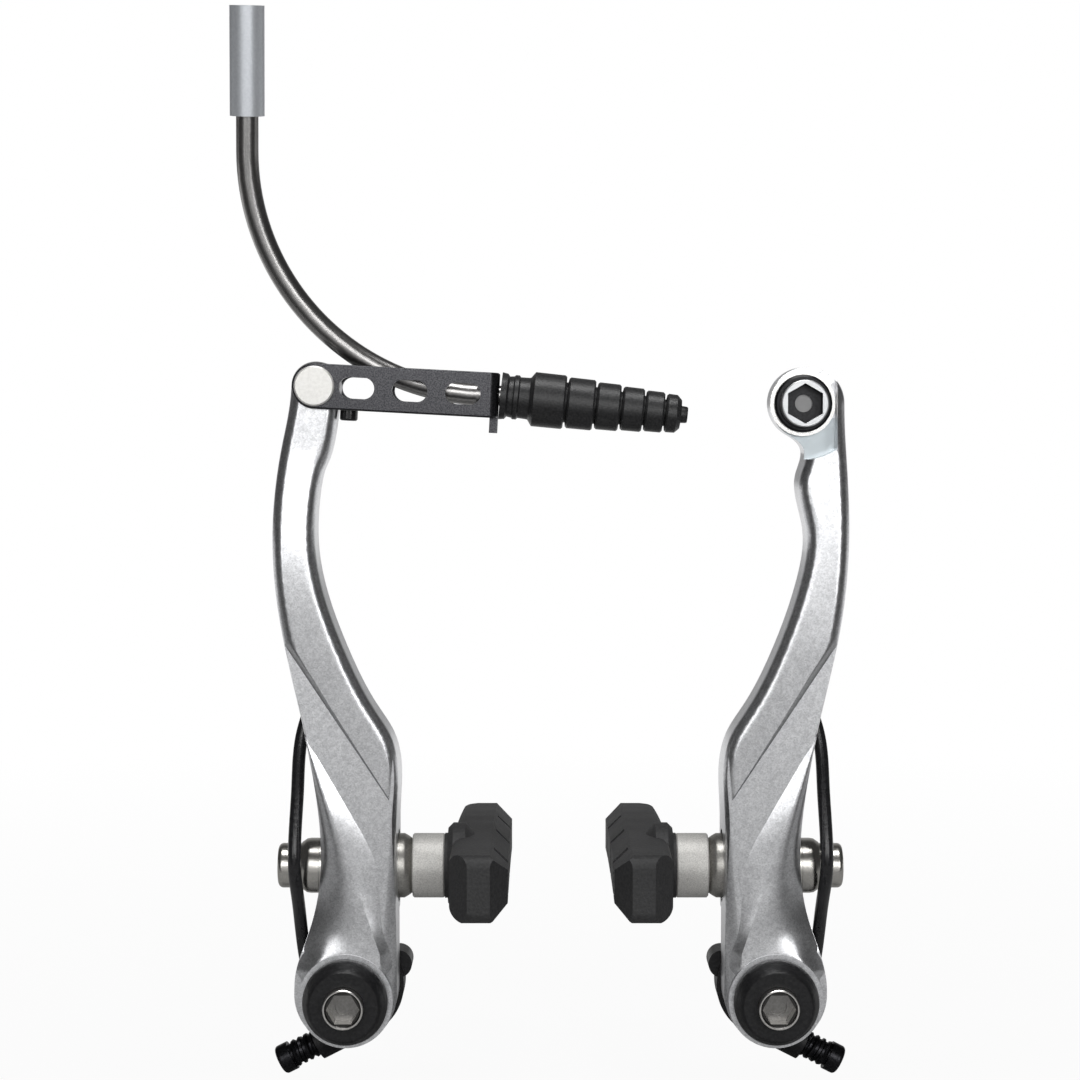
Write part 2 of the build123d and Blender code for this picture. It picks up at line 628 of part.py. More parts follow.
# Outer ball washers, about the same centre
outer_r = ball_x - spot_x + OUTER_BALL_RISE
outer_rim = OUTER_BALL_D / 2
outer_dome = dome_arc(ball_x, outer_r, outer_rim, BALL_BORE / 2, -1)
outer_flat = Polyline(outer_dome @ 1, (spot_x, BALL_BORE / 2), (spot_x, outer_rim), outer_dome @ 0)
save_pair("outer_ball_washer", ring_of([outer_dome, outer_flat]))

# Outer cup washers under the nuts
outer_hollow = dome_arc(ball_x, outer_r + SEAT_GAP, outer_rim, CUP_BORE / 2, -1)
cup_end = ball_x - OUTER_CUP_END
outer_body = Polyline(
    outer_hollow @ 1,
    (cup_end, CUP_BORE / 2),
    (cup_end, outer_rim - 0.7),
    (cup_end + 0.9, outer_rim - 0.1),
    (cup_end + 1.6, outer_rim),
    outer_hollow @ 0,
)
save_pair("outer_cup_washer", ring_of([outer_hollow, outer_body]))

# Shoe nuts with a rounded end and a key socket
nut_end = cup_end - NUT_LENGTH
stud_end = cup_end - NUT_LENGTH / 2
nut_r = NUT_D / 2
nut_turn = NUT_ROUND * (1 - cos(radians(45)))
nut_edge = [
    Polyline((stud_end, 0), (stud_end, STUD_D / 2 + RUN_GAP), (cup_end, STUD_D / 2 + RUN_GAP)),
    Polyline((cup_end, STUD_D / 2 + RUN_GAP), (cup_end, nut_r), (nut_end + NUT_ROUND, nut_r)),
    ThreePointArc((nut_end + NUT_ROUND, nut_r), (nut_end + nut_turn, nut_r - nut_turn), (nut_end, nut_r - NUT_ROUND)),
    Polyline((nut_end, nut_r - NUT_ROUND), (nut_end, 0), (stud_end, 0)),
]
nut = ring_of(nut_edge)
key_plane = Plane((nut_end, STUD_Y, STUD_Z), x_dir=(0, 1, 0), z_dir=(1, 0, 0))
key = RegularPolygon(NUT_SOCKET_AF / 2 * ACROSS_CORNERS, 6)
nut = nut - extrude(key_plane * key, amount=NUT_LENGTH / 2 + 1)
save_pair("shoe_nut", nut)

# Threaded studs with a round plate cast into the shoe
plate_x = -PAD_BACK_X + 2.6
stud_profile = Polyline(
    (stud_end + 0.1, 0),
    (stud_end + 0.1, STUD_D / 2 - 0.5),
    (stud_end + 0.6, STUD_D / 2),
    (plate_x - 1.6, STUD_D / 2),
    (plate_x - 1.6, PAD_HEIGHT / 2 - 1.2),
    (plate_x, PAD_HEIGHT / 2 - 1.2),
    (plate_x, 0),
    close=True,
)
save_pair("shoe_stud", ring_of([stud_profile]))

# Brake pads: a bevelled section swept along the rim's curve, rounded in plan, grooved across
half = PAD_HEIGHT / 2
bevel_x = -PAD_FACE_X - PAD_BEVEL
back_x = -PAD_BACK_X
corner = PAD_BACK_R * (1 - cos(radians(45)))
lower_round = ThreePointArc(
    (back_x, -half + PAD_BACK_R),
    (back_x + corner, -half + corner),
    (back_x + PAD_BACK_R, -half),
)
upper_round = ThreePointArc(
    (back_x + PAD_BACK_R, half),
    (back_x + corner, half - corner),
    (back_x, half - PAD_BACK_R),
)
section_edges = [
    Line((back_x, half - PAD_BACK_R), (back_x, -half + PAD_BACK_R)),
    lower_round,
    Polyline(
        (back_x + PAD_BACK_R, -half),
        (bevel_x, -half),
        (-PAD_FACE_X, -half + PAD_BEVEL - 0.1),
        (-PAD_FACE_X, half - PAD_BEVEL + 0.1),
        (bevel_x, half),
        (back_x + PAD_BACK_R, half),
    ),
    upper_round,
]
section = Plane((0, STUD_Y, STUD_Z), x_dir=(1, 0, 0), z_dir=(0, -1, 0)) * closed(*section_edges)
wheel_axis = Axis((0, STUD_Y, STUD_Z - PAD_BOW_R), (1, 0, 0))
rear_angle = degrees(PAD_REAR / PAD_BOW_R)
front_angle = degrees(PAD_FRONT / PAD_BOW_R)
bar = revolve(section.rotate(wheel_axis, -rear_angle - 1), wheel_axis, rear_angle + front_angle + 2)
near = STUD_Y - PAD_FRONT
far = STUD_Y + PAD_REAR
plan = Polyline(
    (-PAD_FACE_X, near + 4.0),
    (bevel_x, near),
    (back_x + 3.2, near),
    (back_x, near + 5.0),
    (back_x, STUD_Y + 12),
    (back_x + 1.0, far - 4.0),
    (back_x + 3.4, far),
    (bevel_x, far),
    (-PAD_FACE_X, far - 2.6),
    close=True,
)
pad = bar & extrude(make_face(plan), amount=80, both=True)
# The near end is rounded over at its top and bottom
nose_drop = PAD_FRONT**2 / (2 * PAD_BOW_R)
for way in (1, -1):
    nose_z = STUD_Z - nose_drop + way * (half - PAD_NOSE_R)
    block = Pos(near, nose_z + way * PAD_NOSE_R) * Rectangle(2 * PAD_NOSE_R, 2 * PAD_NOSE_R)
    waste = block - Pos(near + PAD_NOSE_R, nose_z) * Circle(PAD_NOSE_R)
    pad = pad - extrude(Plane.YZ * waste, amount=60, both=True)
collar_x = cup_back
boss_edge = Polyline(
    (collar_x, 0),
    (collar_x, PAD_COLLAR_D / 2),
    (collar_x + 0.6, PAD_COLLAR_D / 2),
    (collar_x + 0.6, PAD_BOSS_D / 2 - 0.9),
    (collar_x + 1.5, PAD_BOSS_D / 2),
    (back_x + 2.4, PAD_BOSS_D / 2),
    (back_x + 4.6, PAD_HEIGHT / 2 - 0.6),
    (back_x + 4.6, 0),
    close=True,
)
pad = pad + ring_of([boss_edge])
for i in range(PAD_GROOVES):
    groove_y = STUD_Y + PAD_GROOVE_FIRST - i * PAD_GROOVE_PITCH
    groove = Box(2 * PAD_GROOVE_DEPTH, PAD_GROOVE_T, 40)
    pad = pad - Pos(-PAD_FACE_X, groove_y, STUD_Z) * groove
cavity = Polyline(
    (collar_x - 1, 0),
    (collar_x - 1, STUD_D / 2 + FIT_GAP),
    (plate_x - 1.6 - FIT_GAP, STUD_D / 2 + FIT_GAP),
    (plate_x - 1.6 - FIT_GAP, PAD_HEIGHT / 2 - 1.2 + FIT_GAP),
    (plate_x + FIT_GAP, PAD_HEIGHT / 2 - 1.2 + FIT_GAP),
    (plate_x + FIT_GAP, 0),
    close=True,
)
pad = pad - ring_of([cavity])
save_pair("brake_pad", pad)

# Link pin, riveted through the left arm's head
pin_front = LINK_H + LINK_INSIDE / 2 + LINK_SHEET + SEAT_GAP
pin_rear = LINK_H - LINK_INSIDE / 2 - LINK_SHEET - SEAT_GAP
link_pin_profile = [
    (0, pin_rear - 0.8),
    (LINK_PIN_HEAD_D / 2 - 0.4, pin_rear - 0.8),
    (LINK_PIN_HEAD_D / 2, pin_rear - 0.4),
    (LINK_PIN_HEAD_D / 2, pin_rear),
    (LINK_PIN_D / 2, pin_rear),
    (LINK_PIN_D / 2, pin_front),
    (LINK_PIN_HEAD_D / 2, pin_front),
    (LINK_PIN_HEAD_D / 2, pin_front + LINK_PIN_HEAD_T - 0.25),
    (LINK_PIN_HEAD_D / 2 - 0.25, pin_front + LINK_PIN_HEAD_T),
    (0, pin_front + LINK_PIN_HEAD_T),
]
pin_spot = Vector(ARM_HEAD_X - PIVOT_X, 0, ARM_HEAD_Z)
save("link_pin", Pos(*pin_spot) * turned(link_pin_profile))


def on_link(solid):
    # Pieces of the link are drawn level with the pin at zero, then tilted and set on the pin
    return Pos(*pin_spot) * solid.rotate(Axis.Y, LINK_TILT)


# Cable link: one folded strip, two cheeks and an end wall with a keyhole
wide = LINK_INSIDE + 2 * LINK_SHEET
half_high = LINK_HEIGHT / 2
outer_strip = Pos(LINK_LENGTH - 25, -LINK_H) * RectangleRounded(50, wide, 2.0)
inner_strip = Pos(LINK_LENGTH - LINK_END_T - 25, -LINK_H) * RectangleRounded(50, LINK_INSIDE, 0.8)
strip = extrude(outer_strip - inner_strip, amount=20, both=True)
cheek_edges = [
    ThreePointArc((0, half_high), (-half_high, 0), (0, -half_high)),
    Polyline((0, -half_high), (LINK_LENGTH + 1, -half_high), (LINK_LENGTH + 1, half_high), (0, half_high)),
]
cheek = plate(closed(*cheek_edges), 0, 40)
link = strip & cheek
for i in range(3):
    slot_x = LINK_SLOT_FIRST + i * LINK_SLOT_PITCH
    link = link - plate(Pos(slot_x, 0) * SlotOverall(LINK_SLOT_L, LINK_SLOT_W), 0, 40)
for cheek_face in (link.faces().sort_by(Axis.Y)[0], link.faces().sort_by(Axis.Y)[-1]):
    link = fillet(cheek_face.edges(), LINK_EDGE_R)
lip_mid = -half_high - LINK_LIP / 2 + 0.5
link = link + Pos(LINK_LENGTH - LINK_END_T / 2, -LINK_H, lip_mid) * Box(LINK_END_T, LINK_LIP_WIDTH, LINK_LIP + 1)
link = link - plate(Circle(LINK_PIN_D / 2 + RUN_GAP), 0, 40)
keyhole = Circle(PIPE_NOSE_D / 2 + 0.15) + Pos(0, 5) * Rectangle(2.2, 10)
key_face = Plane((LINK_LENGTH - 3, -LINK_H, 0), x_dir=(0, 1, 0), z_dir=(1, 0, 0)) * keyhole
link = link - extrude(key_face, amount=10)
save("cable_link", on_link(link))

# Link stop, a plug between the cheeks that meets the arm
stop_bar = Pos(STOP_X, -LINK_H, -half_high + 1.0) * Box(STOP_D, LINK_INSIDE - 2 * FIT_GAP, 1.6)
stop_foot = Pos(STOP_X, -LINK_H, -half_high - STOP_REACH / 2 + 0.3) * Cylinder(STOP_D / 2, STOP_REACH + 0.6)
stop_edge = stop_foot.edges().group_by(Axis.Z)[0]
stop = stop_bar + fillet(stop_edge, 0.4)
save("link_stop", on_link(stop))

# Lead pipe drawn in its own plane: nose, collar, straight, bend and straight
end_x = LINK_LENGTH - LINK_END_T - SEAT_GAP
bend_x = end_x - PIPE_TIP_STRAIGHT
turn = radians(PIPE_TURN)
arc_mid = (bend_x - PIPE_BEND_R * sin(turn / 2), PIPE_BEND_R * (1 - cos(turn / 2)))
arc_end = (bend_x - PIPE_BEND_R * sin(turn), PIPE_BEND_R * (1 - cos(turn)))
up = (-cos(turn), sin(turn))
pipe_top = (arc_end[0] + up[0] * PIPE_TOP_STRAIGHT, arc_end[1] + up[1] * PIPE_TOP_STRAIGHT)
pipe_line = Wire([Line((end_x, 0), (bend_x, 0)), ThreePointArc((bend_x, 0), arc_mid, arc_end), Line(arc_end, pipe_top)])
pipe_path = Plane((0, -LINK_H, 0), x_dir=(1, 0, 0), z_dir=(0, -1, 0)) * pipe_line
tip_plane = Plane((end_x, -LINK_H, 0), x_dir=(0, 1, 0), z_dir=(-1, 0, 0))
tube = sweep(tip_plane * (Circle(PIPE_D / 2) - Circle(PIPE_BORE / 2)), path=pipe_path)
collar_ring = extrude(tip_plane * (Circle(PIPE_COLLAR_D / 2) - Circle(PIPE_BORE / 2)), amount=PIPE_COLLAR_T)
nose_ring = extrude(tip_plane * (Circle(PIPE_NOSE_D / 2) - Circle(PIPE_BORE / 2)), amount=-PIPE_NOSE_L)
pipe = tube + collar_ring + nose_ring
lean_axis = Axis((0, -LINK_H, 0), (1, 0, 0))


def lean(solid):
    return on_link(solid.rotate(lean_axis, PIPE_LEAN))


save("lead_pipe", lean(pipe))

# Liner inside the lead pipe
liner_nose = extrude(tip_plane * (Circle(LINER_D / 2) - Circle(LINER_BORE / 2)), amount=-PIPE_NOSE_L + 0.3)
liner = sweep(tip_plane * (Circle(LINER_D / 2) - Circle(LINER_BORE / 2)), path=pipe_path) + liner_nose
save("lead_liner", lean(liner))

# Ferrule crimped on the pipe's upper end, open for the cable's outer casing
ferrule_low = (pipe_top[0] - up[0] * FERRULE_GRIP, pipe_top[1] - up[1] * FERRULE_GRIP)
ferrule_plane = Plane(
    (ferrule_low[0], -LINK_H, ferrule_low[1]),
    x_dir=(0, 1, 0),
    z_dir=(up[0], 0, up[1]),
)
ferrule = extrude(ferrule_plane * Circle(FERRULE_D / 2), amount=FERRULE_L)
ferrule = ferrule - extrude(ferrule_plane * Circle(PIPE_D / 2 + FIT_GAP), amount=FERRULE_GRIP)
mouth_plane = ferrule_plane.offset(FERRULE_L - FERRULE_DEPTH)
ferrule = ferrule - extrude(mouth_plane * Circle(FERRULE_BORE / 2), amount=FERRULE_DEPTH + 1)
ferrule = ferrule - extrude(ferrule_plane * Circle(PIPE_BORE / 2), amount=FERRULE_L)
save("lead_ferrule", lean(ferrule))

# Rubber boot: a flange, a neck and rings of falling size parted by V grooves
boot_edge = [
    (0, BOOT_BORE / 2),
    (0, BOOT_FLANGE_D / 2),
    (1.2, BOOT_FLANGE_D / 2 - 0.3),
    (1.7, BOOT_NECK_D / 2),
    (2.2, BOOT_NECK_D / 2 + 0.25),
    (2.9, BOOT_NECK_D / 2 + 0.25),
    (3.4, BOOT_NECK_D / 2),
    (BOOT_NECK_END, BOOT_NECK_D / 2),
]
ring_start = BOOT_NECK_END
for ring_d, ring_end in zip(BOOT_RING_D, BOOT_RING_END):
    first = ring_start == BOOT_NECK_END
    valley = ring_d / 2 - 1.1
    if not first:
        boot_edge.append((ring_start + 0.15, valley))
    boot_edge.append((ring_start + 1.0, ring_d / 2))
    boot_edge.append((ring_end - 0.9, ring_d / 2 - 0.1))
    boot_edge.append((ring_end - 0.15, valley - 0.1))
    ring_start = ring_end
boot_edge.append((BOOT_RING_END[-1], BOOT_NOSE_D / 2))
boot_edge.append((BOOT_NOSE_END, BOOT_NOSE_D / 2 - 0.1))
boot_edge.append((BOOT_NOSE_END, BOOT_CABLE_BORE / 2))
boot_edge.append((PIPE_NOSE_L, BOOT_CABLE_BORE / 2))
boot_edge.append((PIPE_NOSE_L - 0.6, BOOT_BORE / 2))
boot = revolve(make_face(Polyline(*boot_edge, close=True)), Axis.X)
boot_x = LINK_LENGTH + SEAT_GAP + BOOT_FLANGE_D / 2 * sin(radians(BOOT_DROOP))
boot = Pos(boot_x, -LINK_H, 0) * boot.rotate(Axis.Y, BOOT_DROOP)
save("cable_boot", on_link(boot))

# Cable anchor washer with a locating tab and a groove for the cable
washer_place = Pos(ANCHOR_X, ANCHOR_Z)
washer_front = ANCHOR_SEAT_H + ANCHOR_WASHER_T
washer_outline = Circle(ANCHOR_WASHER_D / 2) + Rot(0, 0, 135) * Pos(ANCHOR_WASHER_D / 2 - 0.6, 0) * Rectangle(2.6, 2.2)
washer = plate(washer_place * (washer_outline - Circle(ANCHOR_THREAD_D / 2 + 0.15)), ANCHOR_SEAT_H, washer_front)
groove_z = ANCHOR_Z - ANCHOR_THREAD_D / 2 - CABLE_GROOVE_R - 0.2
groove_plane = Plane((0, -ANCHOR_SEAT_H, groove_z), x_dir=(0, 1, 0), z_dir=(1, 0, 0))
washer = washer - extrude(groove_plane * Circle(CABLE_GROOVE_R), amount=60, both=True)
save("anchor_washer", mirror(at_pivot(washer), about=Plane.YZ))

# Cable anchor bolt
bolt_front = washer_front + ANCHOR_FLANGE_T + ANCHOR_CAP_T
anchor_profile = [
    (0, ANCHOR_REAR_H + 0.4),
    (ANCHOR_THREAD_D / 2 - 0.5, ANCHOR_REAR_H + 0.4),
    (ANCHOR_THREAD_D / 2, ANCHOR_REAR_H + 0.9),
    (ANCHOR_THREAD_D / 2, washer_front),
    (ANCHOR_FLANGE_D / 2, washer_front),
    (ANCHOR_FLANGE_D / 2, washer_front + ANCHOR_FLANGE_T - 0.3),
    (ANCHOR_FLANGE_D / 2 - 0.4, washer_front + ANCHOR_FLANGE_T),
    (ANCHOR_CAP_D / 2, washer_front + ANCHOR_FLANGE_T),
    (ANCHOR_CAP_D / 2, bolt_front - 0.3),
    (ANCHOR_CAP_D / 2 - 0.3, bolt_front),
    (0, bolt_front),
]
anchor_bolt = turned(anchor_profile) - socket(ANCHOR_SOCKET_AF, bolt_front, ANCHOR_SOCKET_DEPTH, True)
anchor_floor = bolt_front - ANCHOR_SOCKET_DEPTH
anchor_bolt = anchor_bolt - plate(Circle(1.5), anchor_floor - 0.5, anchor_floor + 0.5)
anchor_bolt = Pos(ANCHOR_X, 0, ANCHOR_Z) * anchor_bolt
save("anchor_bolt", mirror(at_pivot(anchor_bolt), about=Plane.YZ))
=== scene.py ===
import json
import math

import bmesh
import bpy
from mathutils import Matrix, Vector
from mathutils.bvhtree import BVHTree

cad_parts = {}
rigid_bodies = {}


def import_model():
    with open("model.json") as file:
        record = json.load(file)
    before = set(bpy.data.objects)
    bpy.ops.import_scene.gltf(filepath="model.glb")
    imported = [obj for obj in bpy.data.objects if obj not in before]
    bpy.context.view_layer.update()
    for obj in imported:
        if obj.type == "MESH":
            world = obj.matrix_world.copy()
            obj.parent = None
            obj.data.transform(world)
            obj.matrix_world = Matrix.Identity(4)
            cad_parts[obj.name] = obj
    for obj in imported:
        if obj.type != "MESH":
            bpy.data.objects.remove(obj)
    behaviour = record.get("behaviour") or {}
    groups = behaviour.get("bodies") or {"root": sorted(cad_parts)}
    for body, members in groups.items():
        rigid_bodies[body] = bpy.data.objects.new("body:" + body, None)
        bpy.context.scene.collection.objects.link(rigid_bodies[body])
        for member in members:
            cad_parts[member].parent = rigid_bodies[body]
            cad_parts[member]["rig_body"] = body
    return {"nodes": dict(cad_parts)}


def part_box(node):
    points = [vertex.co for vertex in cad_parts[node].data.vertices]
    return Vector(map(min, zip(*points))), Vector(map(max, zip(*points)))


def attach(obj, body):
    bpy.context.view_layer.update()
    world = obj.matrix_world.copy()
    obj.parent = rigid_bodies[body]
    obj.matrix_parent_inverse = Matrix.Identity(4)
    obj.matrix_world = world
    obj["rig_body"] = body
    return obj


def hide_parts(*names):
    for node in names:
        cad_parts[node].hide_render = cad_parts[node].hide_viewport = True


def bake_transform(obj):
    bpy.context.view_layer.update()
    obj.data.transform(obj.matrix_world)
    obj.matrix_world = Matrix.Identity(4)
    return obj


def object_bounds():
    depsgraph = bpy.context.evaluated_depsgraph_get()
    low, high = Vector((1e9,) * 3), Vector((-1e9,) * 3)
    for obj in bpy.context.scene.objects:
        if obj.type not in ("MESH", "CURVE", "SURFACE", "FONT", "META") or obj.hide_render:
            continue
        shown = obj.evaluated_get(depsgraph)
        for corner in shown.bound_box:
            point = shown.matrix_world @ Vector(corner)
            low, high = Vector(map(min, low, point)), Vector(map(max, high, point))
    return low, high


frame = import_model()
cad_low, cad_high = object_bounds()


# Pivot bushings: plain turned steel sleeves that slip over the frame's bosses.
# The arms turn on them; only their rear rings and mouths can be seen, from behind.
SIDES = {"left": -1, "right": 1}
WELD_REACH = 2e-6
FLAT_WEIGHT = 90
PLAIN_CREASE = 32.0
DRIFT_SCALE = 140.0
TONE_SPAN = (0.34, 0.66)
RELIEF_SHARE = 0.4


def joined_copy(node, finish, crease):
    # The solid again with its facets joined, so that round faces shade round
    solid = frame["nodes"][node]
    mesh = solid.data.copy()
    mesh.name = node + "_skin"
    piece = bpy.data.objects.new(node + "_skin", mesh)
    bpy.context.scene.collection.objects.link(piece)
    join = piece.modifiers.new("join", "WELD")
    join.merge_threshold = WELD_REACH
    shown = piece.evaluated_get(bpy.context.evaluated_depsgraph_get())
    piece.data = bpy.data.meshes.new_from_object(shown)
    piece.modifiers.clear()
    piece.data.name = node + "_skin"
    piece.data.attributes.remove(piece.data.attributes["custom_normal"])
    piece.data.shade_smooth()
    piece.data.set_sharp_from_angle(angle=math.radians(crease))
    piece.data.materials.clear()
    piece.data.materials.append(finish)
    level = piece.modifiers.new("level", "WEIGHTED_NORMAL")
    level.keep_sharp = True
    level.weight = FLAT_WEIGHT
    return piece


def dressed(node, finish, crease=PLAIN_CREASE):
    piece = joined_copy(node, finish, crease)
    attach(piece, frame["nodes"][node]["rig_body"])
    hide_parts(node)


def surface(name, light, dark, grain, metal, rough, rough_swing, bump):
    # A fine two-tone grain over the colour, a broad drift in the gloss and a shallow relief
    finish = bpy.data.materials.new(name)
    finish.use_nodes = True
    tree = finish.node_tree
    shader = tree.nodes["Principled BSDF"]
    place = tree.nodes.new("ShaderNodeTexCoord")
    fine = tree.nodes.new("ShaderNodeTexNoise")
    fine.inputs["Scale"].default_value = 1.0 / grain
    fine.inputs["Detail"].default_value = 3.0
    broad = tree.nodes.new("ShaderNodeTexNoise")
    broad.inputs["Scale"].default_value = DRIFT_SCALE
    broad.inputs["Detail"].default_value = 2.0
    tones = tree.nodes.new("ShaderNodeValToRGB")
    tones.color_ramp.elements[0].position = TONE_SPAN[0]
    tones.color_ramp.elements[0].color = (*dark, 1)
    tones.color_ramp.elements[1].position = TONE_SPAN[1]
    tones.color_ramp.elements[1].color = (*light, 1)
    gloss = tree.nodes.new("ShaderNodeMapRange")
    gloss.inputs["To Min"].default_value = rough - rough_swing
    gloss.inputs["To Max"].default_value = rough + rough_swing
    relief = tree.nodes.new("ShaderNodeBump")
    relief.inputs["Strength"].default_value = bump
    relief.inputs["Distance"].default_value = grain * RELIEF_SHARE
    tree.links.new(place.outputs["Object"], fine.inputs["Vector"])
    tree.links.new(place.outputs["Object"], broad.inputs["Vector"])
    tree.links.new(fine.outputs["Fac"], tones.inputs["Fac"])
    tree.links.new(tones.outputs["Color"], shader.inputs["Base Color"])
    tree.links.new(broad.outputs["Fac"], gloss.inputs["Value"])
    tree.links.new(gloss.outputs["Result"], shader.inputs["Roughness"])
    tree.links.new(fine.outputs["Fac"], relief.inputs["Height"])
    tree.links.new(relief.outputs["Normal"], shader.inputs["Normal"])
    shader.inputs["Metallic"].default_value = metal
    return finish


turned_steel = surface(
    "turned_steel", light=(0.66, 0.64, 0.60), dark=(0.56, 0.55, 0.52),
    grain=0.00025, metal=1.0, rough=0.26, rough_swing=0.06, bump=0.05,
)
for side in SIDES:
    dressed(side + "_pivot_bushing", turned_steel)


# Spring holders: moulded black cups behind the arms with a lug for the stop pin.
# A second lug takes the tension screw; the spring's coil lies inside the cup.
moulded_black = surface(
    "moulded_black", light=(0.017, 0.017, 0.018), dark=(0.010, 0.010, 0.011),
    grain=0.0006, metal=0.0, rough=0.40, rough_swing=0.06, bump=0.25,
)
moulded_shader = moulded_black.node_tree.nodes["Principled BSDF"]
moulded_shader.inputs["Specular IOR Level"].default_value = 0.25
for side in SIDES:
    dressed(side + "_spring_holder", moulded_black)
    dressed(side + "_stop_pin", turned_steel)


# Tension screws: black-oxide cross-head screws in the holders' lower lugs.
# Turning one winds its spring up or down; the thread stands between lug and head.
black_oxide = surface(
    "black_oxide", light=(0.030, 0.030, 0.033), dark=(0.014, 0.014, 0.016),
    grain=0.0004, metal=0.9, rough=0.30, rough_swing=0.06, bump=0.12,
)
THREAD_STEPS = 28
THREAD_SIDES = 6
THREAD_CREASE = 50.0
SCREW_TIP = (0.0390, -0.0042, -0.0087)
SCREW_RISE = math.radians(27.0)
SCREW_LUG = 0.0056
SCREW_CREST_R = 0.00245
SCREW_PITCH = 0.00125
SCREW_TURNS = 3.8
SCREW_RIDGE = 0.00045


def thread_tree(name):
    # A ridge wound on a cylinder: crest, pitch, turns and ridge are the tree's inputs
    tree = bpy.data.node_groups.new(name, "GeometryNodeTree")
    tree.interface.new_socket("Geometry", in_out="OUTPUT", socket_type="NodeSocketGeometry")
    for label in ("Crest radius", "Pitch", "Turns", "Ridge"):
        tree.interface.new_socket(label, in_out="INPUT", socket_type="NodeSocketFloat")
    tree.interface.new_socket("Start", in_out="INPUT", socket_type="NodeSocketVector")
    tree.interface.new_socket("Lean", in_out="INPUT", socket_type="NodeSocketVector")
    tree.interface.new_socket("Finish", in_out="INPUT", socket_type="NodeSocketMaterial")
    sizes = tree.nodes.new("NodeGroupInput")
    core = tree.nodes.new("ShaderNodeMath")
    core.operation = "SUBTRACT"
    tree.links.new(sizes.outputs["Crest radius"], core.inputs[0])
    tree.links.new(sizes.outputs["Ridge"], core.inputs[1])
    length = tree.nodes.new("ShaderNodeMath")
    length.operation = "MULTIPLY"
    tree.links.new(sizes.outputs["Pitch"], length.inputs[0])
    tree.links.new(sizes.outputs["Turns"], length.inputs[1])
    winding = tree.nodes.new("GeometryNodeCurveSpiral")
    winding.inputs["Resolution"].default_value = THREAD_STEPS
    tree.links.new(sizes.outputs["Turns"], winding.inputs["Rotations"])
    tree.links.new(core.outputs[0], winding.inputs["Start Radius"])
    tree.links.new(core.outputs[0], winding.inputs["End Radius"])
    tree.links.new(length.outputs[0], winding.inputs["Height"])
    section = tree.nodes.new("GeometryNodeCurvePrimitiveCircle")
    section.inputs["Resolution"].default_value = THREAD_SIDES
    tree.links.new(sizes.outputs["Ridge"], section.inputs["Radius"])
    ridge = tree.nodes.new("GeometryNodeCurveToMesh")
    ridge.inputs["Fill Caps"].default_value = True
    tree.links.new(winding.outputs["Curve"], ridge.inputs["Curve"])
    tree.links.new(section.outputs["Curve"], ridge.inputs["Profile Curve"])
    placed = tree.nodes.new("GeometryNodeTransform")
    tree.links.new(ridge.outputs["Mesh"], placed.inputs["Geometry"])
    tree.links.new(sizes.outputs["Start"], placed.inputs["Translation"])
    tree.links.new(sizes.outputs["Lean"], placed.inputs["Rotation"])
    solid = tree.nodes.new("GeometryNodeRealizeInstances")
    tree.links.new(placed.outputs["Geometry"], solid.inputs["Geometry"])
    coated = tree.nodes.new("GeometryNodeSetMaterial")
    tree.links.new(solid.outputs["Geometry"], coated.inputs["Geometry"])
    tree.links.new(sizes.outputs["Finish"], coated.inputs["Material"])
    done = tree.nodes.new("NodeGroupOutput")
    tree.links.new(coated.outputs["Geometry"], done.inputs["Geometry"])
    return tree


screw_thread = thread_tree("screw_thread")


def threaded(name, body, values):
    # The wound ridge as a plain mesh that rides with its screw
    ridge = bpy.data.objects.new(name, bpy.data.meshes.new(name + "_start"))
    bpy.context.scene.collection.objects.link(ridge)
    wound = ridge.modifiers.new("thread", "NODES")
    wound.node_group = screw_thread
    for socket in screw_thread.interface.items_tree:
        if socket.in_out == "INPUT":
            wound[socket.identifier] = values[socket.name]
    shown = ridge.evaluated_get(bpy.context.evaluated_depsgraph_get())
    ridge.data = bpy.data.meshes.new_from_object(shown)
    ridge.modifiers.clear()
    ridge.data.name = name
    ridge.data.shade_smooth()
    ridge.data.set_sharp_from_angle(angle=math.radians(THREAD_CREASE))
    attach(ridge, body)


for side, toward in SIDES.items():
    dressed(side + "_tension_screw", black_oxide)
    start_x = toward * (SCREW_TIP[0] + SCREW_LUG * math.cos(SCREW_RISE))
    start_z = SCREW_TIP[2] - SCREW_LUG * math.sin(SCREW_RISE)
    threaded(side + "_screw_thread", side + "_tension", {
        "Crest radius": SCREW_CREST_R,
        "Pitch": SCREW_PITCH,
        "Turns": SCREW_TURNS,
        "Ridge": SCREW_RIDGE,
        "Start": (start_x, SCREW_TIP[1], start_z),
        "Lean": (0.0, toward * (math.pi / 2 + SCREW_RISE), 0.0),
        "Finish": black_oxide,
    })


# Return springs: drawn steel wire coiled about each bushing, with one long leg.
# The leg runs up to a hook pin on the arm, swings with it and bows out round the shoe's nut.
drawn_wire = surface(
    "drawn_wire", light=(0.50, 0.49, 0.47), dark=(0.40, 0.39, 0.38),
    grain=0.0003, metal=1.0, rough=0.30, rough_swing=0.05, bump=0.05,
)
LEG_CREASE = 60.0
LEG_BOW = 0.0013
LEG_BOW_Z = 0.0219
LEG_BOW_REACH = 0.0070


def sprung(side, part, finish):
    # Still at the coil, bowed forward where the nut passes
    piece = joined_copy(side + part, finish, LEG_CREASE)
    for point in piece.data.vertices:
        point.co.y -= LEG_BOW * math.exp(-((point.co.z - LEG_BOW_Z) / LEG_BOW_REACH) ** 2)
    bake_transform(piece)
    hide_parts(side + part)


for side, toward in SIDES.items():
    sprung(side, "_return_spring", drawn_wire)


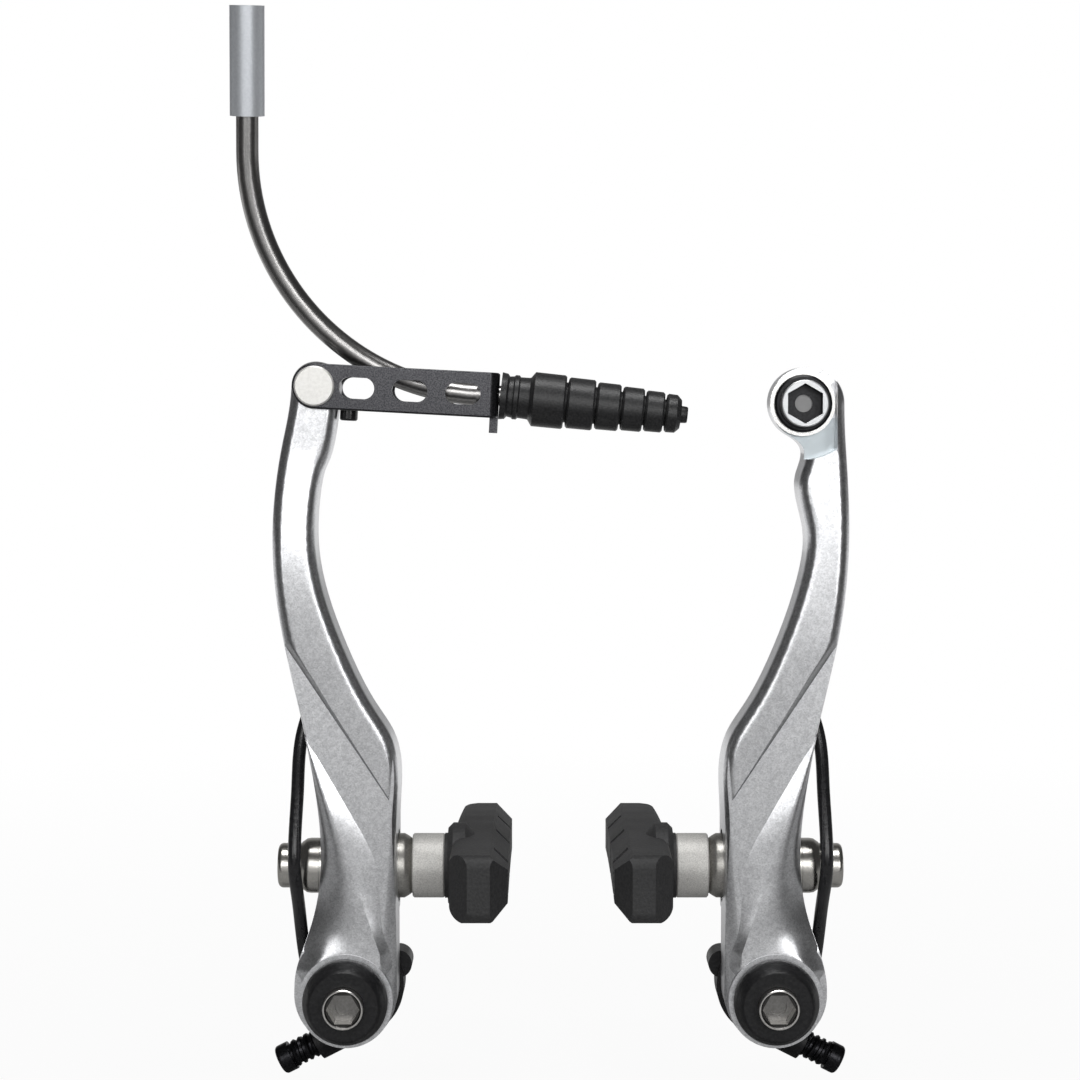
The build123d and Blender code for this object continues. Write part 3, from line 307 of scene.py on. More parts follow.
# Spring sleeves: glossy black plastic tube pushed over each leg to quieten it.
# They follow the wire inside them.
glossy_black = surface(
    "glossy_black", light=(0.020, 0.020, 0.022), dark=(0.012, 0.012, 0.013),
    grain=0.0008, metal=0.0, rough=0.22, rough_swing=0.05, bump=0.08,
)
for side, toward in SIDES.items():
    sprung(side, "_spring_sleeve", glossy_black)


# Brake arms: forged aluminium, sculpted on the front and sprayed metallic silver.
# A rounded rail runs down from the head and steps into a flat side panel.
FLAKE_SIZE = 0.00022
FLAKE_LEVELS = (0.80, 1.08)
ANCHOR_SEAT_Y = -0.0160
ANCHOR_SEAT_SKIN = 0.0002
ANCHOR_SEAT_Z = 0.0955
ANCHOR_SEAT_REACH = 0.0060
BARE_ALLOY = (0.40, 0.44, 0.46, 1)
ARM_CREASE = 24.0


def flake_paint(name):
    # Bright flakes of random tone in the paint, with bare alloy where the seat is milled
    finish = surface(
        name, light=(0.74, 0.745, 0.76), dark=(0.63, 0.635, 0.65),
        grain=0.0009, metal=0.95, rough=0.29, rough_swing=0.03, bump=0.03,
    )
    tree = finish.node_tree
    shader = tree.nodes["Principled BSDF"]
    place = tree.nodes["Texture Coordinate"]
    tones = tree.nodes["Color Ramp"]
    flakes = tree.nodes.new("ShaderNodeTexVoronoi")
    flakes.inputs["Scale"].default_value = 1.0 / FLAKE_SIZE
    flake_tone = tree.nodes.new("ShaderNodeSeparateColor")
    flake_level = tree.nodes.new("ShaderNodeMapRange")
    flake_level.inputs["To Min"].default_value = FLAKE_LEVELS[0]
    flake_level.inputs["To Max"].default_value = FLAKE_LEVELS[1]
    flecked = tree.nodes.new("ShaderNodeVectorMath")
    flecked.operation = "SCALE"
    tree.links.new(place.outputs["Object"], flakes.inputs["Vector"])
    tree.links.new(flakes.outputs["Color"], flake_tone.inputs["Color"])
    tree.links.new(flake_tone.outputs["Red"], flake_level.inputs["Value"])
    tree.links.new(tones.outputs["Color"], flecked.inputs[0])
    tree.links.new(flake_level.outputs["Result"], flecked.inputs["Scale"])
    axes = tree.nodes.new("ShaderNodeSeparateXYZ")
    tree.links.new(place.outputs["Object"], axes.inputs["Vector"])
    at_seat = tree.nodes.new("ShaderNodeMath")
    at_seat.operation = "COMPARE"
    at_seat.inputs[1].default_value = ANCHOR_SEAT_Y
    at_seat.inputs[2].default_value = ANCHOR_SEAT_SKIN
    tree.links.new(axes.outputs["Y"], at_seat.inputs[0])
    up_high = tree.nodes.new("ShaderNodeMath")
    up_high.operation = "COMPARE"
    up_high.inputs[1].default_value = ANCHOR_SEAT_Z
    up_high.inputs[2].default_value = ANCHOR_SEAT_REACH
    tree.links.new(axes.outputs["Z"], up_high.inputs[0])
    bare = tree.nodes.new("ShaderNodeMath")
    bare.operation = "MULTIPLY"
    tree.links.new(at_seat.outputs[0], bare.inputs[0])
    tree.links.new(up_high.outputs[0], bare.inputs[1])
    coat_or_bare = tree.nodes.new("ShaderNodeMix")
    coat_or_bare.data_type = "RGBA"
    coat_or_bare.inputs["B"].default_value = BARE_ALLOY
    tree.links.new(bare.outputs[0], coat_or_bare.inputs["Factor"])
    tree.links.new(flecked.outputs["Vector"], coat_or_bare.inputs["A"])
    tree.links.new(coat_or_bare.outputs["Result"], shader.inputs["Base Color"])
    return finish


silver_paint = flake_paint("silver_paint")
for side in SIDES:
    dressed(side + "_arm", silver_paint, crease=ARM_CREASE)
    dressed(side + "_spring_hook", turned_steel)


# Arm noses: the foot of each forged arm, crowned from a leaning ridge to its outer edge.
# It is one metal and one paint with the arm, and flares up to the collar round the pivot.
# Here it is a skin at most 1.5 mm proud of the arm's solid and clear of its bore, with sizes in mm.
MM = 0.001
PIVOT_X = 37.5
NOSE_FOOT_Z = 3.0
NOSE_TOP_Z = 46.6
NOSE_BACK_H = 15.2
NOSE_CREASE = 14.0
NOSE_ROWS = 110
OUTER_COLUMNS = 30
INNER_COLUMNS = 18
EVEN_ROWS = 7
RIDGE_TOP = (-7.1, 47.0)
RIDGE_FOOT = (6.0, 8.2)
RIDGE_LIFT = 0.75
RIDGE_BLEND_Z = (17.0, 25.0)
CREASE_FOOT = (6.9, 23.0)
CREASE_BEND = 4.0
FACET_LEAN = 15.0
FACET_EASE = 9.0
FACET_EASE_Z = (38.0, 24.0)
CROWN = 2.8
CROWN_EDGE = 0.7
INNER_X = 7.0
INNER_SPREAD = 1.2
INNER_SPREAD_Z = (21.0, 12.0)
INNER_SINK = 0.04
OUTER_H = 15.6
OUTER_INSET = 0.04
EDGE_PROBE = 0.10
EDGE_LIFT = 0.05
EDGE_DROP = 0.3
COLLAR_EDGE_R = 8.4
COLLAR_TOP_H = 20.3
COLLAR_TOP_Z = 12.0
FLARE_REACH = 4.2
FLARE_FILL = 0.9
FOOT_SINK = 0.6
FOOT_SINK_Z = (NOSE_FOOT_Z, NOSE_FOOT_Z + 2.0)
CORNER_SINK = 1.0
CORNER_SINK_Z = (3.5, 5.8)
CORNER_SINK_X = (2.5, 5.5)
BORE_CLEAR_R = 5.8
BORE_ROWS_Z = 6.4
RAY_X = -30.0
RAY_H = 60.0


def smooth(value, start, end):
    share = min(1.0, max(0.0, (value - start) / (end - start)))
    return share * share * (3.0 - 2.0 * share)


def ridge_and_inner(z):
    # Where the ridge and the skin's inner boundary stand at this height
    down = (RIDGE_TOP[1] - z) / (RIDGE_TOP[1] - RIDGE_FOOT[1])
    ridge = RIDGE_TOP[0] + min(down, 1.0) * (RIDGE_FOOT[0] - RIDGE_TOP[0])
    fall = (RIDGE_TOP[1] - z) / (RIDGE_TOP[1] - CREASE_FOOT[1])
    crease = RIDGE_TOP[0] + fall * (CREASE_FOOT[0] - RIDGE_TOP[0])
    edge = INNER_X + INNER_SPREAD * smooth(z, *INNER_SPREAD_Z)
    near = max(0.0, CREASE_BEND - abs(crease - edge)) / CREASE_BEND
    return ridge, min(crease, edge) - near * near * CREASE_BEND / 4.0


def nose_line(rows, row):
    # One row as x, height and share of flare: crowned up to the ridge, then flat to the crease
    z, outer, ridge, inner, _, forged_h, _ = rows[row]
    reach = min(EVEN_ROWS, row, NOSE_ROWS - row)
    around = rows[row - reach:row + reach + 1]
    edge_h = sum(other[4] for other in around) / len(around) + EDGE_LIFT
    inner_h = sum(other[6] for other in around) / len(around)
    lean = math.tan(math.radians(FACET_LEAN - FACET_EASE * smooth(z, *FACET_EASE_Z)))
    ridge_high = inner_h + (inner - ridge) * lean
    ridge_low = forged_h + RIDGE_LIFT
    if z <= COLLAR_TOP_Z:
        ridge_low = min(ridge_low, COLLAR_TOP_H)
    ridge_h = ridge_low + (ridge_high - ridge_low) * smooth(z, *RIDGE_BLEND_Z)
    edge_h = min(edge_h, ridge_h - EDGE_DROP)
    line = []
    for column in range(OUTER_COLUMNS + 1):
        share = 1.0 - column / OUTER_COLUMNS
        x = outer + (ridge - outer) * (1.0 - share)
        h = ridge_h - (ridge_h - edge_h) * share ** CROWN
        line.append((x, h, 1.0 - smooth(share, CROWN_EDGE, 1.0)))
    for column in range(1, INNER_COLUMNS + 1):
        share = column / INNER_COLUMNS
        x = ridge + (inner - ridge) * share
        h = ridge_h + (inner_h - INNER_SINK - ridge_h) * share
        line.append((x, h, 1.0 - share))
    return line


def settled(x, h, z, weight):
    # Flared up to the collar, sunk into it at the foot and lifted clear of the bore
    reach = math.hypot(x, z) - COLLAR_EDGE_R
    flare = max(0.0, 1.0 - max(reach, 0.0) / FLARE_REACH) ** 2
    h += weight * flare * max(0.0, COLLAR_TOP_H - h) * FLARE_FILL
    h -= FOOT_SINK * (1.0 - smooth(z, *FOOT_SINK_Z))
    h -= CORNER_SINK * (1.0 - smooth(z, *CORNER_SINK_Z)) * smooth(x, *CORNER_SINK_X)
    lift = max(0.0, math.sqrt(max(0.0, BORE_CLEAR_R ** 2 - x * x)) - NOSE_FOOT_Z)
    low = 1.0 - min(1.0, (z - NOSE_FOOT_Z) / (BORE_ROWS_Z - NOSE_FOOT_Z))
    return x, h, z + lift * low


def slab_faces(rows, columns):
    # Front, back and rim of a slab whose back points follow all its front points
    count = rows * columns
    faces = []
    for row in range(rows - 1):
        for column in range(columns - 1):
            a = row * columns + column
            faces.append((a, a + 1, a + columns + 1, a + columns))
            faces.append((count + a, count + a + columns, count + a + columns + 1, count + a + 1))
    rim = list(range(columns))
    rim += [row * columns + columns - 1 for row in range(1, rows)]
    rim += [(rows - 1) * columns + column for column in range(columns - 2, -1, -1)]
    rim += [row * columns for row in range(rows - 2, 0, -1)]
    for index, a in enumerate(rim):
        b = rim[(index + 1) % len(rim)]
        faces.append((a, b, count + b, count + a))
    return faces


def closed_piece(name, points, faces, crease, finish):
    mesh = bpy.data.meshes.new(name)
    mesh.from_pydata(points, [], faces)
    mesh.validate()
    form = bmesh.new()
    form.from_mesh(mesh)
    bmesh.ops.recalc_face_normals(form, faces=form.faces)
    form.to_mesh(mesh)
    form.free()
    mesh.shade_smooth()
    mesh.set_sharp_from_angle(angle=math.radians(crease))
    mesh.materials.append(finish)
    piece = bpy.data.objects.new(name, mesh)
    bpy.context.scene.collection.objects.link(piece)
    return piece


def nose(side, toward):
    solid = frame["nodes"][side + "_arm"].data
    corners = [vertex.co for vertex in solid.vertices]
    arm = BVHTree.FromPolygons(corners, [polygon.vertices[:] for polygon in solid.polygons])

    def place(x, h, z):
        return Vector((toward * (PIVOT_X - x), -h, z)) * MM

    def front(x, z):
        struck = arm.ray_cast(place(x, RAY_H, z), Vector((0, 1, 0)))[0]
        return -struck.y / MM

    rows = []
    for row in range(NOSE_ROWS + 1):
        z = NOSE_FOOT_Z + (NOSE_TOP_Z - NOSE_FOOT_Z) * row / NOSE_ROWS
        struck = arm.ray_cast(place(RAY_X, OUTER_H, z), Vector((-toward, 0, 0)))[0]
        outer = PIVOT_X - toward * struck.x / MM + OUTER_INSET
        ridge, inner = ridge_and_inner(z)
        heights = (front(outer + EDGE_PROBE, z), front(ridge, z), front(inner, z))
        rows.append((z, outer, ridge, inner, *heights))
    points = []
    for row in range(NOSE_ROWS + 1):
        for x, h, weight in nose_line(rows, row):
            points.append(place(*settled(x, h, rows[row][0], weight)))
    points += [Vector((point.x, -NOSE_BACK_H * MM, point.z)) for point in points]
    faces = slab_faces(NOSE_ROWS + 1, OUTER_COLUMNS + INNER_COLUMNS + 1)
    piece = closed_piece(side + "_arm_nose", points, faces, NOSE_CREASE, silver_paint)
    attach(piece, side + "_brake_arm")


for side, toward in SIDES.items():
    nose(side, toward)


# Bolt caps and fixing bolts: a black cup closes the front of each pivot.
# The plated key bolt inside it clamps the bushing to the boss.
plated_bolt_with_painted_shade = surface(
    "plated_bolt_with_painted_shade", light=(1.0, 0.98, 0.95), dark=(0.80, 0.78, 0.75),
    grain=0.0004, metal=1.0, rough=0.30, rough_swing=0.05, bump=0.02,
)
# Painted shade: the bolt's colour steps with depth behind its front face. The face is bright, then comes
# a near-black painted ring of shade on the chamfer, then mid grey, then darker painted shade deep in the
# key socket.
BOLT_FRONT_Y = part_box("left_fixing_bolt")[0].y
BOLT_PAINTED_SHADE_DEPTH = 0.004
BOLT_PAINTED_SHADE_STEPS = ((0.0, 0.72), (0.05, 0.06), (0.115, 0.55), (0.77, 0.26))


def grey_ramp(tree, stops):
    # Grey levels along a ramp, as position and level in rising order
    ramp = tree.nodes.new("ShaderNodeValToRGB")
    first, *between, last = stops
    for element, (position, level) in zip(ramp.color_ramp.elements, (first, last)):
        element.position = position
        element.color = (level, level, level, 1)
    for position, level in between:
        ramp.color_ramp.elements.new(position).color = (level, level, level, 1)
    return ramp


bolt_tree = plated_bolt_with_painted_shade.node_tree
bolt_place = bolt_tree.nodes["Texture Coordinate"]
bolt_grain = bolt_tree.nodes["Color Ramp"]
bolt_shader = bolt_tree.nodes["Principled BSDF"]
bolt_axes = bolt_tree.nodes.new("ShaderNodeSeparateXYZ")
# Depth behind the face picks the step of painted shade, which multiplies the plate's grain colour.
bolt_depth = bolt_tree.nodes.new("ShaderNodeMapRange")
bolt_depth.inputs["From Min"].default_value = BOLT_FRONT_Y
bolt_depth.inputs["From Max"].default_value = BOLT_FRONT_Y + BOLT_PAINTED_SHADE_DEPTH
bolt_painted_shade_ramp = grey_ramp(bolt_tree, BOLT_PAINTED_SHADE_STEPS)
bolt_painted_shade_ramp.color_ramp.interpolation = "CONSTANT"
plate_times_painted_shade = bolt_tree.nodes.new("ShaderNodeMix")
plate_times_painted_shade.data_type = "RGBA"
plate_times_painted_shade.blend_type = "MULTIPLY"
plate_times_painted_shade.inputs["Factor"].default_value = 1.0
bolt_tree.links.new(bolt_place.outputs["Object"], bolt_axes.inputs["Vector"])
bolt_tree.links.new(bolt_axes.outputs["Y"], bolt_depth.inputs["Value"])
bolt_tree.links.new(bolt_depth.outputs["Result"], bolt_painted_shade_ramp.inputs["Fac"])
bolt_tree.links.new(bolt_grain.outputs["Color"], plate_times_painted_shade.inputs["A"])
bolt_tree.links.new(bolt_painted_shade_ramp.outputs["Color"], plate_times_painted_shade.inputs["B"])
bolt_tree.links.new(plate_times_painted_shade.outputs["Result"], bolt_shader.inputs["Base Color"])
for side in SIDES:
    dressed(side + "_bolt_cap", moulded_black)
    dressed(side + "_fixing_bolt", plated_bolt_with_painted_shade)


# Shoe seats: domed washers against the arm and the cups that turn on them.
# The inner cup is a long bead-blasted spacer; the outer one sits under the nut.
dull_steel = surface(
    "dull_steel", light=(0.50, 0.49, 0.46), dark=(0.36, 0.35, 0.33),
    grain=0.0003, metal=1.0, rough=0.40, rough_swing=0.06, bump=0.12,
)
blasted_alloy = surface(
    "blasted_alloy", light=(0.74, 0.73, 0.70), dark=(0.52, 0.51, 0.49),
    grain=0.0002, metal=0.35, rough=0.55, rough_swing=0.05, bump=0.35,
)
for side in SIDES:
    dressed(side + "_inner_ball_washer", dull_steel)
    dressed(side + "_outer_ball_washer", turned_steel)
    dressed(side + "_cup_spacer", blasted_alloy)
    dressed(side + "_outer_cup_washer", turned_steel)
    dressed(side + "_shoe_nut", turned_steel)
    dressed(side + "_shoe_stud", turned_steel)


# Brake pads: one long moulding of matt black rubber on each stud's plate.
# The face that meets the rim is bevelled and grooved.
pad_rubber = surface(
    "pad_rubber", light=(0.036, 0.036, 0.037), dark=(0.022, 0.022, 0.023),
    grain=0.0005, metal=0.0, rough=0.62, rough_swing=0.08, bump=0.4,
)
PAD_CREASE = 25.0
for side in SIDES:
    dressed(side + "_brake_pad", pad_rubber, crease=PAD_CREASE)


# Cable link: one steel strip folded into a channel, plated a speckled charcoal.
# It hangs on a riveted pin at the left arm's head, against a small stop.
speckled_plate = surface(
    "speckled_plate", light=(0.085, 0.085, 0.090), dark=(0.030, 0.030, 0.034),
    grain=0.00024, metal=0.9, rough=0.30, rough_swing=0.05, bump=0.06,
)
pale_plate = surface(
    "pale_plate", light=(0.86, 0.85, 0.82), dark=(0.78, 0.77, 0.74),
    grain=0.0005, metal=0.4, rough=0.35, rough_swing=0.05, bump=0.05,
)
dressed("cable_link", speckled_plate)
dressed("link_stop", glossy_black)
dressed("link_pin", pale_plate)


# Lead pipe: a bent steel tube, dark and satin, with a liner and a crimped ferrule.
# Its nose hooks through the link's keyhole and its top takes the cable's casing.
dark_tube = surface(
    "dark_tube", light=(0.40, 0.39, 0.385), dark=(0.33, 0.325, 0.32),
    grain=0.0004, metal=1.0, rough=0.30, rough_swing=0.05, bump=0.03,
)
satin_alloy = surface(
    "satin_alloy", light=(0.76, 0.79, 0.83), dark=(0.70, 0.73, 0.77),
    grain=0.0005, metal=0.55, rough=0.42, rough_swing=0.04, bump=0.05,
)
natural_plastic = surface(
    "natural_plastic", light=(0.80, 0.80, 0.77), dark=(0.74, 0.74, 0.71),
    grain=0.0006, metal=0.0, rough=0.5, rough_swing=0.05, bump=0.1,
)
dressed("lead_pipe", dark_tube)
dressed("lead_liner", natural_plastic)
dressed("lead_ferrule", satin_alloy)


# Cable boot: a black rubber bellows that keeps dirt off the cable.
# Its rings fall in size towards the nose, with narrow grooves between them.
# The profile is in mm, as distance along the boot and radius.
boot_rubber = surface(
    "boot_rubber", light=(0.030, 0.030, 0.031), dark=(0.010, 0.010, 0.011),
    grain=0.00035, metal=0.0, rough=0.42, rough_swing=0.08, bump=0.30,
)
BOOT_STEPS = 72
BOOT_CREASE = 30.0
BOOT_START = Vector((-0.010454, -0.0164, 0.105327))
BOOT_TILT = math.radians(5.9)
BOOT_NECK = (
    (0.0, 2.0), (0.0, 4.10), (1.0, 3.95), (1.35, 3.50), (2.1, 3.60),
    (2.35, 3.85), (3.0, 3.85), (3.25, 3.55), (4.8, 3.62),
)
FIRST_SHOULDER = (0.75, 1.05)
SHOULDER = (0.30, 0.25)
BOOT_RINGS = (
    (5.0, 11.2, 4.72, FIRST_SHOULDER),
    (11.62, 16.3, 4.43, SHOULDER),
    (16.7, 20.75, 4.10, SHOULDER),
    (21.15, 24.85, 3.82, SHOULDER),
    (25.2, 28.4, 3.56, SHOULDER),
)
GROOVE = ((-0.28, 0.04), (0.0, 0.30), (0.04, 1.20), (0.28, 1.25))
BOOT_NOSE = (
    (28.8, 3.10), (29.1, 3.36), (30.6, 3.30), (31.4, 2.50), (31.45, 1.50),
    (32.4, 1.42), (32.6, 1.30), (32.6, 1.0), (6.0, 1.0), (5.4, 2.0),
)
boot_edge = list(BOOT_NECK)
for ring_start, ring_end, ring_r, (lead_in, drop) in BOOT_RINGS:
    boot_edge.append((ring_start, ring_r - drop))
    boot_edge.append((ring_start + lead_in, ring_r))
    boot_edge += [(ring_end + past, ring_r - below) for past, below in GROOVE]
boot_edge += BOOT_NOSE
boot_along = Vector((math.cos(BOOT_TILT), 0, -math.sin(BOOT_TILT)))
boot_up = Vector((math.sin(BOOT_TILT), 0, math.cos(BOOT_TILT)))
boot_points = []
for along, radius in boot_edge:
    for step in range(BOOT_STEPS):
        turn = 2 * math.pi * step / BOOT_STEPS
        spoke = boot_up * math.cos(turn) + Vector((0, 1, 0)) * math.sin(turn)
        boot_points.append(BOOT_START + (boot_along * along + spoke * radius) * MM)
boot_faces = []
for row in range(len(boot_edge)):
    here = row * BOOT_STEPS
    after = (row + 1) % len(boot_edge) * BOOT_STEPS
    for step in range(BOOT_STEPS):
        beside = (step + 1) % BOOT_STEPS
        boot_faces.append((here + step, after + step, after + beside, here + beside))
boot_rings = closed_piece("boot_rings", boot_points, boot_faces, BOOT_CREASE, boot_rubber)
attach(boot_rings, "lead")
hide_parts("cable_boot")


# Cable anchor: a black key bolt and a bright washer at the right arm's head.
# They clamp the end of the cable.
bright_washer = surface(
    "bright_washer", light=(0.84, 0.83, 0.81), dark=(0.76, 0.75, 0.73),
    grain=0.0004, metal=1.0, rough=0.24, rough_swing=0.04, bump=0.03,
)
anchor_black = surface(
    "anchor_black", light=(0.022, 0.022, 0.024), dark=(0.012, 0.012, 0.013),
    grain=0.0004, metal=0.6, rough=0.34, rough_swing=0.06, bump=0.10,
)
ANCHOR_AXIS = (0.0419, 0.0, 0.1040)
ANCHOR_FACE_Y = -0.0219
ANCHOR_FLOOR_R = 0.0015
ANCHOR_FLOOR_TONE = (0.20, 0.20, 0.20, 1)
ANCHOR_FACE_TONE = (0.66, 0.67, 0.68, 1)
anchor_tree = anchor_black.node_tree
anchor_place = anchor_tree.nodes["Texture Coordinate"]
anchor_grain = anchor_tree.nodes["Color Ramp"]
anchor_shader = anchor_tree.nodes["Principled BSDF"]
anchor_axes = anchor_tree.nodes.new("ShaderNodeSeparateXYZ")
worn_face = anchor_tree.nodes.new("ShaderNodeMath")
worn_face.operation = "LESS_THAN"
worn_face.inputs[1].default_value = ANCHOR_FACE_Y
flat_place = anchor_tree.nodes.new("ShaderNodeVectorMath")
flat_place.operation = "MULTIPLY"
flat_place.inputs[1].default_value = (1.0, 0.0, 1.0)
from_axis = anchor_tree.nodes.new("ShaderNodeVectorMath")
from_axis.operation = "DISTANCE"
from_axis.inputs[1].default_value = ANCHOR_AXIS
socket_floor = anchor_tree.nodes.new("ShaderNodeMath")
socket_floor.operation = "LESS_THAN"
socket_floor.inputs[1].default_value = ANCHOR_FLOOR_R
floor_tone = anchor_tree.nodes.new("ShaderNodeMix")
floor_tone.data_type = "RGBA"
floor_tone.inputs["B"].default_value = ANCHOR_FLOOR_TONE
face_tone = anchor_tree.nodes.new("ShaderNodeMix")
face_tone.data_type = "RGBA"
face_tone.inputs["B"].default_value = ANCHOR_FACE_TONE
anchor_tree.links.new(anchor_place.outputs["Object"], anchor_axes.inputs["Vector"])
anchor_tree.links.new(anchor_axes.outputs["Y"], worn_face.inputs[0])
anchor_tree.links.new(anchor_place.outputs["Object"], flat_place.inputs[0])
anchor_tree.links.new(flat_place.outputs["Vector"], from_axis.inputs[0])
anchor_tree.links.new(from_axis.outputs["Value"], socket_floor.inputs[0])
anchor_tree.links.new(socket_floor.outputs[0], floor_tone.inputs["Factor"])
anchor_tree.links.new(anchor_grain.outputs["Color"], floor_tone.inputs["A"])
anchor_tree.links.new(worn_face.outputs[0], face_tone.inputs["Factor"])
anchor_tree.links.new(floor_tone.outputs["Result"], face_tone.inputs["A"])
anchor_tree.links.new(face_tone.outputs["Result"], anchor_shader.inputs["Base Color"])
dressed("anchor_washer", bright_washer)
dressed("anchor_bolt", anchor_black)


# Floor: a pale matt sheet just under the brake.
# It shows nearly white to the eye, its far part also in the metal, and keeps the shadow.
FLOOR_Z = cad_low.z - 0.0015
FLOOR_FRONT = -0.10
FLOOR_REACH = 4
SHEET_GREY = (0.45, 0.45, 0.45, 1)
SHEET_MIRROR_Y = (0.05, 0.30)
SHEET_FADE_REACH = (0.08, 0.45)
SHEET_FADE = (0.95, 1.0)
floor_corners = [
    (-FLOOR_REACH, FLOOR_FRONT, FLOOR_Z),
    (FLOOR_REACH, FLOOR_FRONT, FLOOR_Z),
    (FLOOR_REACH, FLOOR_REACH, FLOOR_Z),
    (-FLOOR_REACH, FLOOR_REACH, FLOOR_Z),
]
floor_mesh = bpy.data.meshes.new("floor")
floor_mesh.from_pydata(floor_corners, [], [(0, 1, 2, 3)])
floor = bpy.data.objects.new("floor", floor_mesh)
bpy.context.scene.collection.objects.link(floor)
pale_sheet = bpy.data.materials.new("pale_sheet")
pale_sheet.use_nodes = True
sheet_tree = pale_sheet.node_tree
matt = sheet_tree.nodes["Principled BSDF"]
matt.inputs["Base Color"].default_value = SHEET_GREY
matt.inputs["Roughness"].default_value = 0.9
glow = sheet_tree.nodes.new("ShaderNodeEmission")
glow.inputs["Strength"].default_value = 1.0
rays = sheet_tree.nodes.new("ShaderNodeLightPath")
sheet_place = sheet_tree.nodes.new("ShaderNodeTexCoord")
sheet_axes = sheet_tree.nodes.new("ShaderNodeSeparateXYZ")
sheet_behind = sheet_tree.nodes.new("ShaderNodeMapRange")
sheet_behind.inputs["From Min"].default_value = SHEET_MIRROR_Y[0]
sheet_behind.inputs["From Max"].default_value = SHEET_MIRROR_Y[1]
mirrored = sheet_tree.nodes.new("ShaderNodeMath")
mirrored.operation = "MULTIPLY"
seen = sheet_tree.nodes.new("ShaderNodeMath")
seen.operation = "MAXIMUM"
seen_through = sheet_tree.nodes.new("ShaderNodeMath")
seen_through.operation = "MAXIMUM"
white_share = sheet_tree.nodes.new("ShaderNodeMath")
white_share.operation = "MULTIPLY"
sheet_far = sheet_tree.nodes.new("ShaderNodeVectorMath")
sheet_far.operation = "LENGTH"
sheet_fade = sheet_tree.nodes.new("ShaderNodeMapRange")
sheet_fade.inputs["From Min"].default_value = SHEET_FADE_REACH[0]
sheet_fade.inputs["From Max"].default_value = SHEET_FADE_REACH[1]
sheet_fade.inputs["To Min"].default_value = SHEET_FADE[0]
sheet_fade.inputs["To Max"].default_value = SHEET_FADE[1]
matt_or_white = sheet_tree.nodes.new("ShaderNodeMixShader")
sheet_out = sheet_tree.nodes["Material Output"]
sheet_tree.links.new(sheet_place.outputs["Object"], sheet_far.inputs[0])
sheet_tree.links.new(sheet_far.outputs["Value"], sheet_fade.inputs["Value"])
sheet_tree.links.new(sheet_place.outputs["Object"], sheet_axes.inputs["Vector"])
sheet_tree.links.new(sheet_axes.outputs["Y"], sheet_behind.inputs["Value"])
sheet_tree.links.new(rays.outputs["Is Glossy Ray"], mirrored.inputs[0])
sheet_tree.links.new(sheet_behind.outputs["Result"], mirrored.inputs[1])
sheet_tree.links.new(rays.outputs["Is Camera Ray"], seen.inputs[0])
sheet_tree.links.new(mirrored.outputs[0], seen.inputs[1])
sheet_tree.links.new(seen.outputs[0], seen_through.inputs[0])
sheet_tree.links.new(rays.outputs["Is Transmission Ray"], seen_through.inputs[1])
sheet_tree.links.new(seen_through.outputs[0], white_share.inputs[0])
sheet_tree.links.new(sheet_fade.outputs["Result"], white_share.inputs[1])
sheet_tree.links.new(white_share.outputs[0], matt_or_white.inputs["Fac"])
sheet_tree.links.new(matt.outputs[0], matt_or_white.inputs[1])
sheet_tree.links.new(glow.outputs[0], matt_or_white.inputs[2])
sheet_tree.links.new(matt_or_white.outputs[0], sheet_out.inputs["Surface"])
floor_mesh.materials.append(pale_sheet)


# Light: a studio that is pale straight ahead and straight behind and dark between.
# The dark part edges the metal, the eye sees plain white all round, and four soft lamps light the brake.
STUDIO_LEVELS = ((0.0, 0.58), (0.014, 0.54), (0.055, 0.17), (0.14, 0.05), (0.80, 0.05), (1.0, 0.45))
world = bpy.data.worlds.new("studio")
bpy.context.scene.world = world
world.use_nodes = True
sky = world.node_tree
ground = sky.nodes["Background"]
ground.inputs["Color"].default_value = (1, 1, 1, 1)
sky_way = sky.nodes.new("ShaderNodeTexCoord")
sky_axes = sky.nodes.new("ShaderNodeSeparateXYZ")
sky_depth = grey_ramp(sky, STUDIO_LEVELS)
sky_half = sky.nodes.new("ShaderNodeMapRange")
sky_half.inputs["From Min"].default_value = -1.0
sky_rays = sky.nodes.new("ShaderNodeLightPath")
sky_level = sky.nodes.new("ShaderNodeMath")
sky_level.operation = "MAXIMUM"
sky.links.new(sky_way.outputs["Generated"], sky_axes.inputs["Vector"])
sky.links.new(sky_axes.outputs["Y"], sky_half.inputs["Value"])
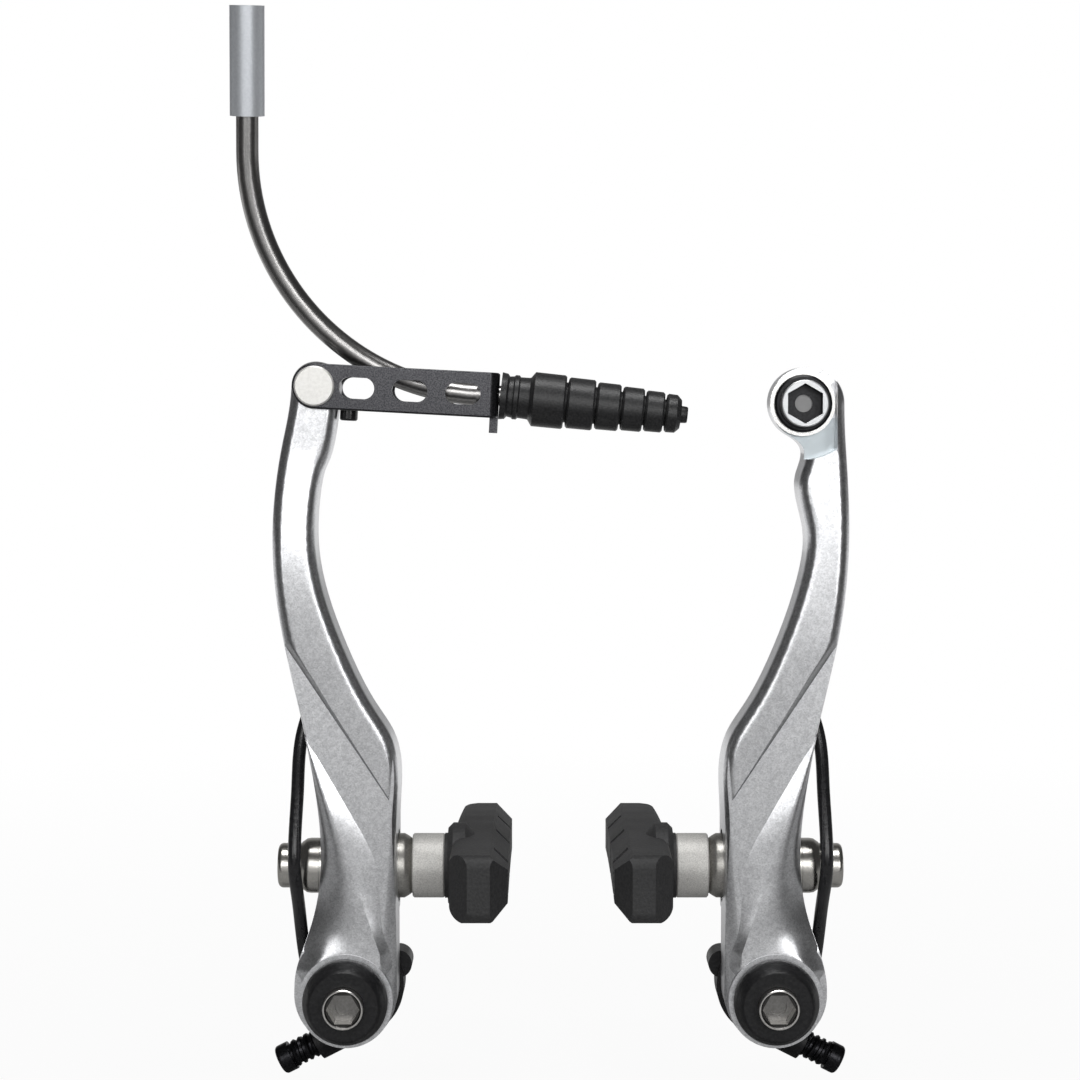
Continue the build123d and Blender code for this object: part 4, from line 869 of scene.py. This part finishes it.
sky.links.new(sky_half.outputs["Result"], sky_depth.inputs["Fac"])
sky.links.new(sky_depth.outputs["Color"], sky_level.inputs[0])
sky.links.new(sky_rays.outputs["Is Camera Ray"], sky_level.inputs[1])
sky.links.new(sky_level.outputs[0], ground.inputs["Strength"])


def lamp(name, place, target, size, power):
    data = bpy.data.lights.new(name, "AREA")
    data.energy = power
    data.shape = "RECTANGLE"
    data.size, data.size_y = size
    holder = bpy.data.objects.new(name, data)
    bpy.context.scene.collection.objects.link(holder)
    holder.location = place
    holder.rotation_euler = (Vector(target) - Vector(place)).to_track_quat("-Z", "Y").to_euler()
    holder.visible_camera = False


lamp("front_box", place=(0.0, -0.95, 0.31), target=(0, 0, 0.08), size=(0.34, 0.34), power=1.6)
lamp("left_strip", place=(-0.42, -0.92, 0.26), target=(0, 0, 0.06), size=(0.22, 0.50), power=1.0)
lamp("right_strip", place=(0.42, -0.92, 0.26), target=(0, 0, 0.06), size=(0.22, 0.50), power=1.6)
lamp("top_box", place=(0.0, -0.22, 0.95), target=(0, 0, 0.06), size=(0.6, 0.28), power=5.0)


# Camera: a little above the middle of the arms and square to them.
# It stands close enough for the shoes and the collars to show their depth.
CAMERA_LIFT = math.radians(3.0)
CAMERA_REACH = 0.45
AIM = Vector((-0.00314, -0.021, 0.0805))
SENSOR_WIDTH = 36.0
FOCAL_PIXELS = 2612.0
SHIFT_PIXELS = -2.7
PICTURE_PIXELS = 1080.0
camera_data = bpy.data.cameras.new("camera")
camera_data.sensor_width = SENSOR_WIDTH
camera_data.lens = SENSOR_WIDTH * FOCAL_PIXELS / PICTURE_PIXELS
camera_data.shift_x = SHIFT_PIXELS / PICTURE_PIXELS
camera = bpy.data.objects.new("camera", camera_data)
bpy.context.scene.collection.objects.link(camera)
camera.location = AIM + CAMERA_REACH * Vector((0, -math.cos(CAMERA_LIFT), math.sin(CAMERA_LIFT)))
camera.rotation_euler = (math.pi / 2 - CAMERA_LIFT, 0, 0)
bpy.context.scene.camera = camera
bpy.context.scene.view_settings.view_transform = "Standard"
